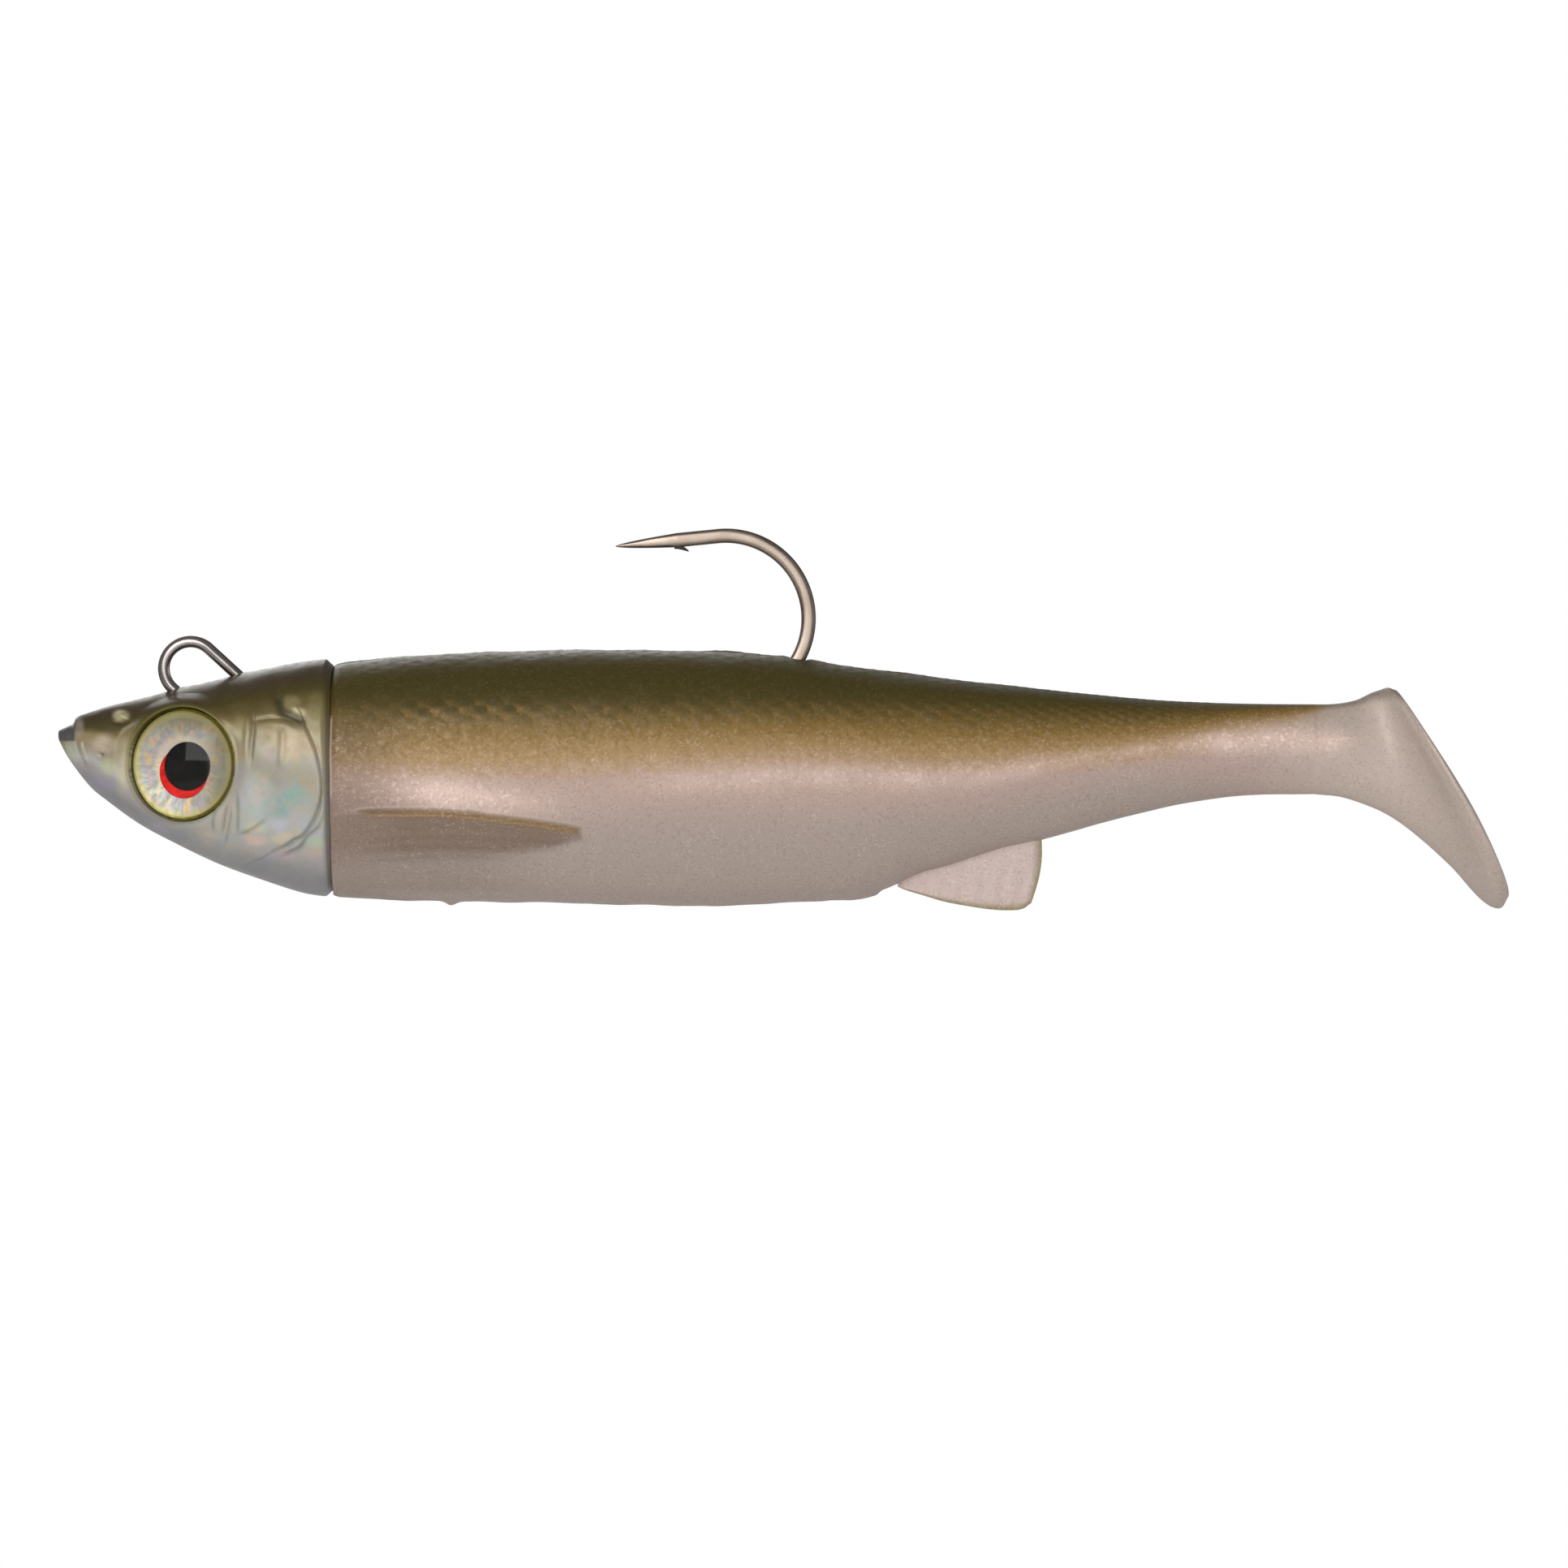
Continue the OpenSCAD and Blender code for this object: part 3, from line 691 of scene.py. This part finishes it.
def build_anal_fin():
    """A thin blade with faint rays. Its top edge is buried in the belly."""
    across, down = 90, 44
    u, v = np.linspace(0, 1, across)[:, None], np.linspace(0, 1, down)[None, :]
    root_x, root_z = (start + (end - start) * u for start, end in zip(*FIN_ROOT))
    tip_x = FIN_TIP[0] + (FIN_TIP[1] - FIN_TIP[0]) * u
    x = root_x + (tip_x - root_x) * v + 0.45 * np.sin(np.pi * np.clip(v, 0, 1)) * u**6
    z = root_z + (fin_lower(u) - root_z) * v
    rounded = 1 - ease(0.9, 1, v) * 0.75
    rear_thin = 1 - ease(0.94, 1, u) * 0.8
    front_thin = 1 - ease(0.08, 0, u) * 0.7
    rays = 0.07 * np.sin(u * 46 + v * 1.5) * ease(0.25, 0.6, v)
    half = (0.62 - 0.24 * v + rays * 0.6) * rounded * rear_thin * front_thin
    edge = np.maximum(ease(0.82, 1, v), ease(0.93, 1, u)) + 0 * u
    right, left = (np.stack([x, side * half, z], axis=-1) for side in (1, -1))
    faces = grid_faces(across, 2 * down, (0, 0))
    for j in range(down - 1):
        front = [j, j + 1, 2 * down - 2 - j, 2 * down - 1 - j]
        faces += [front[::-1], [(across - 1) * 2 * down + k for k in front]]
    fin = make_piece("anal_fin_blade", chain([right, left[:, ::-1]], axis=1), faces, fin_material(),
                     {"edge": chain([edge, edge[:, ::-1]], axis=1).ravel()})
    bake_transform(fin)
    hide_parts("anal_fin")


# ---- head ----

HEAD_AROUND = 400
EYE_X, EYE_Z, EYE_TURN, EYE_R, EYE_RECESS = 11.65, 1.3, 19, 5, 1.6
SEAT = 0.9
KEEPER_SLOPE = 3
NOSTRIL, BELOW_NOSTRIL, PORE, CHEEK = (5.8, 5.68), (5.75, 5.1), (4.08, 2.2), (21.5, 6.3)
WIRE_EXITS = [(10.85, 7.9), (16.5, 9.4)]
GILL_EDGE = [[22.56, 4.75], [23.1, 3.6], [23.6, 2.4], [23.95, 0.6], [24.05, -0.9], [23.95, -1.9],
             [23.4, -3.45], [22.3, -5], [21.5, -5.4], [20.8, -5.9], [19.6, -6.45]]
GROOVES = [  # depth, width, ink and line
    (0.07, 0.22, 0.08, GILL_EDGE),
    (0.12, 0.18, 0.34, [[24.03, -1], [23.9, -2.1], *GILL_EDGE[6:]]),
    (0.2, 0.46, 0.95, [[19.6, 7.9], [20.05, 7], [20.4, 6.05], [21.2, 5.6], [22, 5.2], [22.6, 4.6]]),
    (0.18, 0.17, 0.42, [[24.1, -3.5], [23.6, -4.36], [22.6, -5.15], [22, -6.05], [21.1, -6.5], [20.2, -7]]),
    (0.09, 0.2, 0.3, [[17.65, 6.1], [17.85, 5.3], [17.85, 4.2], [17.75, 3.3], [17.6, 1.2]]),
    (0.1, 0.2, 0.2, [[17.8, 5.1], [18.6, 5.3], [19.6, 5.4], [20.9, 5.2], [22, 4.5]]),
    (0.12, 0.13, 0.36, [[14.6, -2.7], [14.3, -3.6], [14.15, -4.8]]),
    (0.14, 0.13, 0.4, [[15.6, -2.1], [15.3, -3.4], [15, -4.9]]),
    (0.12, 0.14, 0.3, [[15.9, -2.6], [15.6, -4.2], [15.2, -5.9]]),
    (0.13, 0.13, 0.36, [[16.45, -1.2], [16.45, -3], [16.35, -5]]),
    (0.12, 0.13, 0.4, [[16.5, -4.95], [17.6, -4.5], [19, -3.55]]),
    (0.12, 0.15, 0.24, [[1.75, 3.5], [1.9, 2.6], [2.35, 1.6], [2.7, 1]]),
    (0.04, 0.2, 0.06, [[3.2, -0.2], [5.5, -1.9], [8, -3.4]]),
]
RIDGES = [  # height, width and line
    (0.08, 0.34, [[20.45, 4.7], [20.5, 3.2], [20.3, 0.6]]),
    (0.05, 0.24, [[17.35, 6], [17.3, 4.4], [17.2, 3], [17.05, 0.8]]),
    (0.07, 0.18, [[2.05, 3.5], [2.3, 2.6], [2.7, 1.7], [3.2, 1.1]]),
    (0.08, 0.12, [[15, -3.2], [14.75, -4.3], [14.6, -5]]),
    (0.08, 0.12, [[16, -1.6], [15.95, -3.2], [15.75, -4.9]]),
    (0.1, 0.16, [[23.9, -2.6], [23.1, -4.4], [22, -5.6], [20.6, -6.4]]),
]
PATCHES = [  # x, z, half width, half height, red, green, blue, share: patches of one colour, iridescent tints of the base coat and painted highlights
    (21.7, 2.7, 1.8, 2.2, 166, 149, 119, 0.8), (20.5, 3.4, 0.35, 1.5, 184, 168, 136, 0.6),
    (18.2, -1.7, 1.5, 2.2, 190, 197, 193, 0.75), (19.9, -2.5, 1.3, 1, 124, 162, 162, 0.95),
    (21.6, -1.5, 1.1, 1.1, 124, 170, 164, 0.95), (21.9, -3, 0.7, 0.6, 192, 174, 158, 0.7),
    (20, -4, 1, 0.6, 194, 194, 204, 0.85), (18.2, -4.2, 1.4, 0.6, 200, 199, 168, 0.85),
    (18, -5.4, 1.2, 0.5, 222, 184, 166, 0.85), (20.4, -5.1, 1, 0.55, 214, 198, 168, 0.8),
    (22.5, -3.9, 0.7, 0.8, 184, 190, 188, 0.7), (23.2, -5.6, 0.9, 0.6, 174, 194, 168, 0.8),
    (23.2, -6.5, 0.9, 0.45, 200, 168, 156, 0.75), (20.4, -6.7, 1.3, 0.45, 184, 154, 162, 0.65),
    # painted highlights at the head's top rear corner
    (21.8, 5.95, 0.75, 0.4, 198, 184, 140, 1), (21.1, 6.7, 0.9, 0.7, 160, 148, 102, 0.85),
    (23.4, 6.3, 0.7, 1.3, 134, 126, 82, 0.8), (15.4, -3.6, 1.2, 1.4, 180, 174, 160, 0.6),
    (16.2, 0.3, 0.7, 1.1, 160, 150, 158, 0.6), (18.3, 3.1, 0.6, 1.5, 132, 122, 92, 0.6),
    (5.8, 5.65, 0.7, 0.48, 190, 180, 140, 1), (4.3, 3.1, 1.1, 0.9, 186, 170, 150, 0.8),
    (4.7, 1.1, 0.6, 0.8, 192, 196, 152, 0.8), (1.3, 2.6, 0.7, 1.1, 176, 180, 160, 0.8),
    (1.95, 4.6, 0.45, 1, 152, 136, 130, 0.8), (4, -0.4, 1.5, 0.7, 152, 146, 164, 0.7),
    (9.3, -4.3, 1.3, 0.7, 160, 150, 168, 0.7), (6.1, 1, 0.7, 2.2, 186, 178, 150, 0.9),
    (13.7, -4.5, 1, 0.7, 184, 172, 160, 0.7),
]
PAINT_X = [0, 3, 5, 8, 12, 15, 18, 22, 25]
PAINT_LINES = [  # level, and its height at each of those places
    (0.1, [0.6, 0.2, -1.2, -3.4, -5.4, -6.8, -6.9, -8.4, -9.2]),
    (0.2, [1.4, 1.4, 0, -2.4, -4.6, -5.6, -6.4, -7.2, -7.8]),
    (0.32, [2, 2, 0.6, -1.2, -3.6, -3.4, -3.4, -4.2, -4.6]),
    (0.42, [2.6, 2.8, 1.6, -0.4, -1, -0.2, 0, 0.2, 0.4]),
    (0.6, [4, 4, 3.5, 2.6, 3.4, 4.4, 4.8, 5.3, 5.6]),
    (0.74, [4.4, 4.35, 4, 4.2, 5.2, 5.5, 6, 7, 7.2]),
    (0.86, [4.7, 4.6, 4.4, 5.2, 6.2, 6.8, 7.2, 8.1, 8.4]),
    (1, [5.3, 5.4, 6, 6.6, 7.4, 8.2, 8.4, 9.2, 9.4]),
]


def eye_frame(side):
    """The eye's centre on the socket's floor, and its backward, upward and outward directions."""
    turn = math.radians(EYE_TURN)
    centre = np.array([EYE_X, side * (float(head_half(EYE_X)) - EYE_RECESS), EYE_Z])
    return (centre, np.array([math.cos(turn), side * math.sin(turn), 0]), np.array([0, 0, 1]),
            np.array([-math.sin(turn), side * math.cos(turn), 0]))


def head_rings():
    """The head's rings before relief, closed over the lower lip at the front."""
    x = chain([[0, 0.003, 0.011, 0.024, 0.039, 0.051], np.linspace(0.1, 3, 39),
                        np.arange(3.12, 23.9, 0.125), np.linspace(23.9, HEAD_END, 16)])
    share = chain([[0.03, 0.25, 0.5, 0.72, 0.88, 0.97], np.ones(len(x) - 6)])
    top, bottom, half = head_top(x), head_bottom(x), head_half(x)
    middle, tall = (top + bottom) / 2, (top - bottom) / 2 * share
    edge = ease(23.7, HEAD_END + 0.05, x) ** 1.7 * 0.6
    return oval_rings(x, middle + tall - edge, middle - tall + edge, half * share - edge, HEAD_AROUND)


def press_eye_sockets(rings, fields):
    """Flattens the head round each eye, raises a thin lip and sinks the socket to its flat floor."""
    for sign in (-1, 1):
        centre, back, up, out = eye_frame(sign)
        local = rings - centre
        radius = np.hypot(local @ back, local @ up)
        rise = local @ out
        near = (rings[..., 1] * sign > 0) & (rise > -1)
        seat = near * ease(EYE_R + 1.5, EYE_R + 0.15, radius) * 0.8
        rings = rings + out * (seat * (SEAT - rise))[..., None]
        rings = rings + out * (0.1 * bell(radius - EYE_R - 0.2, 0.17) * near)[..., None]
        rise = (rings - centre) @ out
        sink = near * ease(EYE_R + 0.12, EYE_R + 0.03, radius)
        rings = rings - out * np.clip((rise + 0.04) * sink, 0, None)[..., None]
        fields["rim"] = np.maximum(fields["rim"], 0.55 * bell(radius - EYE_R - 0.22, 0.16) * near)
        # Painted shadow: a dark ring in the gap round each eye, darker on its rear side.
        dark = (0.3 + 0.55 * ease(-4, 0, local @ back)) * ease(EYE_R + 0.16, EYE_R + 0.06, radius)
        fields["ink"] = np.maximum(fields["ink"], dark * near)
    return rings


def head_surface():
    rings = head_rings()
    side = np.abs(np.cos(turn_angles(HEAD_AROUND)))[None, :]
    px, py, pz = np.moveaxis(rings, -1, 0)
    flank = ease(0.12, 0.4, side) + 0 * px
    height = 0.04 * ripple(px, pz, 5, 3)
    ink = np.zeros_like(px)
    for depth, width, stain, points in GROOVES:
        gap, above, along = path_offset(px, pz, points)
        cut = bell(gap, width) * (0.25 + 0.75 * ease(0, 0.2, along) * ease(1, 0.8, along))
        height -= depth * cut
        ink += stain * cut
    for rise, width, points in RIDGES:
        gap, above, along = path_offset(px, pz, points)
        height += rise * bell(gap, width) * ease(0, 0.2, along) * ease(1, 0.7, along)
    gap, above, along = path_offset(px, pz, GILL_EDGE)
    in_front = (px < 24.2) * ease(0, 0.25, gap) * (above < 0)
    height += 0.14 * ease(4.5, 0.2, gap) * in_front
    height += 0.2 * spot(px, pz, NOSTRIL, (0.62, 0.36)) - 0.1 * spot(px, pz, BELOW_NOSTRIL, (0.7, 0.25))
    pore = spot(px, pz, PORE, (0.2, 0.18))
    height += 0.1 * spot(px, pz, CHEEK, (0.9, 0.5)) - 0.12 * pore
    height *= flank
    for exit_x, exit_z in WIRE_EXITS:
        height += 0.1 * bell(np.hypot(px - exit_x, py), 0.85) * (pz > 5)

    paint = 0.1 + 0 * px
    for (low, under), (high, over) in zip(PAINT_LINES[:-1], PAINT_LINES[1:]):
        under, over = np.interp(px, PAINT_X, under), np.interp(px, PAINT_X, over)
        paint += (high - low) * np.clip((pz - under) / (over - under), 0, 1)
    tint, tinted, total = np.zeros_like(rings), np.zeros_like(px), np.full_like(px, 1e-6)
    for x, z, wide, tall, red, green, blue, share in PATCHES:
        weight = bell(((px - x) / wide) ** 2 + ((pz - z) / tall) ** 2, 1) * flank
        tint += weight[..., None] * np.array(srgb(red, green, blue)[:3])
        tinted = np.maximum(tinted, share * weight)
        total += weight
    fields = {
        "paint": paint, "tinted": tinted, "rim": np.zeros_like(px),
        "shimmer": ease(5, 1, pz) * ease(8, 15, px) * ease(-9, -5, pz) * flank,
        # Stain in the grooves and the pore, and painted shade along the head's rear edge at its joint with
        # the body.
        "ink": np.clip((ink + 0.7 * pore + 0.5 * ease(24.1, 24.45, px)) * flank, 0, 0.9),
        "nose": ease(1.68, 1.5, px) * ease(3.25, 3.55, pz),
    }
    rings = press_eye_sockets(rings + outward(rings) * height[..., None], fields)
    fields = {key: (field + 0 * px).ravel() for key, field in fields.items()}
    return rings, {"tint": (tint / total[..., None]).reshape(-1, 3), **fields}


def keeper_rings():
    """The barbed collar behind the head, inside the body."""
    profile = np.array([[0, 2.5], [2.8, 2.5], [3, 3.3], [5.6, 2.5], [8.8, 2.5], [9, 3.3], [11.6, 2.5],
                        [12, 2.3]])
    path = np.array([HEAD_END - 0.4, 5.15]) + profile[:, :1] * heading(KEEPER_SLOPE)
    return sweep(path, profile[:, 1], 48)[:, ::-1]


def build_head():
    rings, fields = head_surface()
    collar = keeper_rings()
    fields = {key: chain([field, np.zeros((collar.size // 3, *field.shape[1:]))])
              for key, field in fields.items()}
    head_piece("head_shell", *joined([rings, collar]), head_material(), fields, "head_paint", "head_casting")


# ---- eyes ----

RED_AT, PUPIL_AT = (0.1, -0.7), (0.45, -0.15)
LENS_R, DOME_TOP, DOME_R = 4.9, 2.15, 9.63


def eye_piece(name, side, offset, profile, material, slot, node, count=96):
    """A round piece of the eye. profile holds radii and heights above the socket's floor."""
    centre, back, up, out = eye_frame(side)
    angle = turn_angles(count)
    radii, heights = (np.asarray(v, float)[:, None, None] for v in profile)
    turned = angle[None, :, None] * side
    flat = back * (offset[0] + radii * np.cos(turned)) + up * (offset[1] + radii * np.sin(turned))
    rings = centre + flat + out * heights
    radius, turn = np.repeat(radii.ravel(), count), np.tile(angle, len(radii))
    spoke = np.column_stack([3 * np.cos(turn), 3 * np.sin(turn), 0.35 * radius])
    # Painted shade over the foil's upper and rear parts.
    foil_shade = 0.85 * ease(2.2, 4.2, side * radius * np.sin(turn))
    foil_shade = np.maximum(foil_shade, 0.6 * ease(1.4, 3.6, radius * np.cos(turn)))
    head_piece(name, rings, grid_faces(*rings.shape[:2]), material,
               {"radius": radius, "spoke": spoke, "foil_shade": foil_shade}, slot, node)


def build_eyes():
    foil, lens = foil_material(), lens_material()
    red = print_material("eye_red_ink", (190, 30, 26), (158, 20, 18))
    black = print_material("eye_black_ink", (8, 8, 9), (20, 18, 18))
    disc = (chain([np.linspace(0.02, 4.5, 46), [4.6, 4.72, 4.86, 4.94, 4.98, 4.98, 0.02]]),
            chain([np.full(46, 0.13), [0.14, 0.18, 0.22, 0.2, 0.14, 0, 0]]))
    red_disc = [0.02, 1.2, 2.11, 2.16, 2.16, 0.02], [0.2, 0.2, 0.2, 0.19, 0.15, 0.15]
    pupil = [0.02, 1.2, 2, 2.05, 2.05, 0.02], [0.26, 0.26, 0.26, 0.25, 0.2, 0.2]
    reach = np.linspace(0, 1, 40) * LENS_R
    dome = (chain([0.01 + reach, [4.95, 4.97, 4.97, 4.9, 0.01]]),
            chain([DOME_TOP - DOME_R + np.sqrt(DOME_R**2 - reach**2), [0.72, 0.6, 0.4, 0.3, 0.3]]))
    for side, word in ((-1, "left"), (1, "right")):
        eye_piece(f"{word}_foil_disc", side, (0, 0), disc, foil, "eye_foil", f"{word}_eye_foil")
        eye_piece(f"{word}_red_disc", side, RED_AT, red_disc, red, "eye_red", f"{word}_eye_red_print")
        eye_piece(f"{word}_pupil_disc", side, PUPIL_AT, pupil, black, "eye_black", f"{word}_eye_pupil")
        eye_piece(f"{word}_dome", side, (0, 0), dome, lens, "eye_lens", f"{word}_eye_lens")


# ---- hook and line tie ----

HOOK_R, BEND_R, SHANK_SLOPE, POINT_SLOPE = 0.65, 7.4, 3, 5.7
POINT_LENGTH, POINT_TAPER = 9.2, 5.6
HOOK_EYE_X, HOOK_EYE_R, HOOK_EYE_WIRE_R = 13.9, 2, 0.575
BARB_AROUND = 16
TIE_CENTRE, TIE_R, TIE_WIRE_R, TIE_LEAN = (11.85, 9.92), 2.4, 0.525, 42.5
BRIGHTEST = 1.035  # of a wire's light tone


def wire_fields(rings):
    """Coordinates along and round a wire, and a mask of painted shade at its edges, under its point and over
    the barb.
    """
    along = chain([[0], np.cumsum(np.linalg.norm(np.diff(rings.mean(axis=1), axis=0), axis=1))])
    turn = turn_angles(rings.shape[1])
    around = np.column_stack([np.cos(turn), np.sin(turn)])
    place = np.column_stack([np.repeat(along, len(turn)) * 0.08, np.tile(around, (len(rings), 1))])
    reach = np.linalg.norm(rings - rings.mean(axis=1, keepdims=True), axis=2).max(axis=1)
    thin = np.repeat(1 - reach / reach.max(), len(turn))
    # Painted shade at the edges, more under the thin point; the barb is shaded all over.
    edge = np.abs(place[:, 2]) + 0.15 * thin + 1.2 * ease(0, 0.12, thin) * np.clip(-place[:, 2], 0, 1)
    return {"drawn": place, "edge": np.maximum(edge, 1 * (len(turn) == BARB_AROUND))}


def wire_piece(name, parts, material, slot, node, hoops=()):
    fields = [wire_fields(rings) for rings in parts]
    attributes = {key: chain([field[key] for field in fields]) for key in fields[0]}
    head_piece(name, *joined(parts, hoops), material, attributes, slot, node)


def barb_rings(root):
    """A sliver of steel cut and lifted from the point, which faces back towards the bend."""
    t = np.linspace(0, 1, 14)[:, None]
    path = root + heading(POINT_SLOPE) * (1.25 * t - 0.35) - heading(POINT_SLOPE + 90) * (0.6 * t**1.5 - 0.08)
    return sweep(path, 0.25 * (1 - t[:, 0]) ** 0.6 + 0.02, BARB_AROUND)[:, ::-1]


def hook_eye_rings(centre):
    """The hook's eye, a flat ring of wire inside the head."""
    turn = np.linspace(0, math.tau, 61)[:, None]
    tube = turn_angles(24)[None, :]
    r = HOOK_EYE_R + HOOK_EYE_WIRE_R * np.cos(tube)
    x, y, z = r * np.cos(turn), r * np.sin(turn), HOOK_EYE_WIRE_R * np.sin(tube) + 0 * turn
    back, up = heading(SHANK_SLOPE)
    return np.stack([centre[0] + x * back, y, centre[1] + z + x * up], axis=-1)


def build_hook():
    bend = arc((BEND_X, BEND_Z), BEND_R, SHANK_SLOPE - 90, 90 + POINT_SLOPE, 110)
    length = (bend[0][0] - HOOK_EYE_X) / heading(SHANK_SLOPE)[0] - HOOK_EYE_R
    shank_start = bend[0] - length * heading(SHANK_SLOPE)
    shank = np.linspace(shank_start, bend[0], 60)[:-1]
    straight = POINT_LENGTH - POINT_TAPER
    reach = chain([np.linspace(0, straight, 14)[1:], np.linspace(straight, POINT_LENGTH, 60)[1:]])
    path = chain([shank, bend, bend[-1] - reach[:, None] * heading(POINT_SLOPE)])
    left = chain([np.full(len(shank) + len(bend), POINT_LENGTH), POINT_LENGTH - reach])
    radius = HOOK_R * np.clip(left / POINT_TAPER, 0.003, 1) ** 0.58
    forged = ease(0, 14, np.arange(len(path)) - len(shank)) * ease(0.15, 0.6, left / POINT_TAPER)
    wire = sweep(path, radius, 40, forged)[:, ::-1]
    barb_at = bend[-1] - straight * heading(POINT_SLOPE) - heading(POINT_SLOPE + 90) * HOOK_R * 0.9
    eye = hook_eye_rings(shank_start - HOOK_EYE_R * heading(SHANK_SLOPE))
    material = wire_material("bronzed_nickel", (162, 148, 136), (128, 112, 98), (44, 38, 36), 0.34)
    wire_piece("jig_hook", [wire, barb_rings(barb_at), eye], material, "hook_wire", "hook", hoops=(2,))


def build_line_tie():
    back = heading(-TIE_LEAN)
    loop = arc(TIE_CENTRE, TIE_R, 90 - TIE_LEAN, 270 - TIE_LEAN, 80)
    path = chain([np.linspace(loop[0] + back * 8, loop[0], 30)[:-1], loop,
                           np.linspace(loop[-1], loop[-1] + back * 9, 30)[1:]])
    material = wire_material("stainless_wire", (166, 159, 156), (122, 113, 109), (56, 50, 48), 0.27)
    wire_piece("line_tie_wire", [sweep(path, TIE_WIRE_R, 36)[:, ::-1]], material, "tie_wire", "line_tie")


# ---- set ----

ROOM_LIGHT = (0.28, 0.2)  # strength of the room's light from below and from above
LURE_MIDDLE = Vector((0.053, 0, -0.01))
FLOOR_Z, FLOOR_HALF = -0.16, 0.7
AIM = (65, 0, -0.44)
DISTANCE, FRAME_WIDTH = 0.7, 0.14045
LAMPS = [  # name, azimuth from behind the camera towards the tail, elevation, distance, size, watts
    ("key", -20, 20, 0.65, 0.36, 2.05),
    ("front", 5, -4, 0.85, 0.5, 1.5),
    ("low_fill", 12, -42, 0.65, 0.5, 2),
    ("far_side", -155, 28, 0.7, 0.6, 2.4),
    ("tail_side", 100, 6, 0.6, 0.4, 0.8),
]


def build_world():
    """A dim, even studio for the light, and plain white behind the lure."""
    s = Shader("studio", bpy.data.worlds)
    up = s.add("SeparateXYZ", {0: s.add("TexCoord").outputs["Generated"]}).outputs["Z"]
    s.set(Color=(1, 1, 1, 1), Strength=s.remap(up, -0.6, 0.8, *ROOM_LIGHT))
    seen = s.add("Background", {"Color": (1, 1, 1, 1)})
    straight = s.add("LightPath").outputs["Is Camera Ray"]
    either = s.add("MixShader", {0: straight, 1: s.surface.outputs[0], 2: seen.outputs[0]})
    s.feed(s.nodes["World Output"].inputs["Surface"], either.outputs[0])
    scene = bpy.context.scene
    scene.world = s.owner
    scene.view_settings.view_transform = "Standard"


def build_floor():
    """A pale floor well below the lure, which fades out before the camera's frame."""
    s = Shader("pale_floor")
    place = s.add("TexCoord").outputs["Object"]
    grain = s.add("TexNoise", {"Vector": place, "Scale": 3}).outputs["Fac"]
    away = s.add("VectorMath", {0: place}, operation="LENGTH").outputs["Value"]
    s.set(Base_Color=s.ramp(grain, (0.3, 238, 238, 238), (0.7, 244, 244, 244)), Roughness=0.9,
          Alpha=s.remap(away, 0.35, 0.7, 1, 0))
    mesh = bpy.data.meshes.new("floor")
    corners = ((-1, -1), (1, -1), (1, 1), (-1, 1))
    mesh.from_pydata([(x * FLOOR_HALF, y * FLOOR_HALF, 0) for x, y in corners], [], [(0, 1, 2, 3)])
    mesh.materials.append(s.owner)
    floor = add_to_scene("floor", mesh)
    floor.location = (LURE_MIDDLE.x, 0, FLOOR_Z)


def build_lights():
    for name, azimuth, elevation, distance, size, watts in LAMPS:
        turn, lift = math.radians(azimuth), math.radians(elevation)
        towards = Vector((math.sin(turn) * math.cos(lift), -math.cos(turn) * math.cos(lift), math.sin(lift)))
        lamp = bpy.data.lights.new(name, "AREA")
        lamp.shape = "SQUARE"
        lamp.size = size
        lamp.energy = watts
        holder = add_to_scene(name, lamp)
        holder.location = LURE_MIDDLE + towards * distance
        holder.rotation_euler = towards.to_track_quat("Z", "Y").to_euler()
        holder.visible_camera = False


def build_camera():
    """Square on to the lure's left side, a little below its middle."""
    lens = bpy.data.cameras.new("camera")
    lens.sensor_width = 36
    lens.lens = lens.sensor_width * DISTANCE / FRAME_WIDTH
    lens.clip_start, lens.clip_end = 0.01, 50
    camera = add_to_scene("camera", lens)
    aim = to_row([AIM])[0]
    camera.location = (aim[0], -DISTANCE, aim[2])
    camera.rotation_euler = (math.radians(90), 0, 0)
    bpy.context.scene.camera = camera


build_world()
build_floor()
build_lights()
build_camera()
build_head()
build_eyes()
build_line_tie()
build_hook()
build_soft_body()
build_anal_fin()
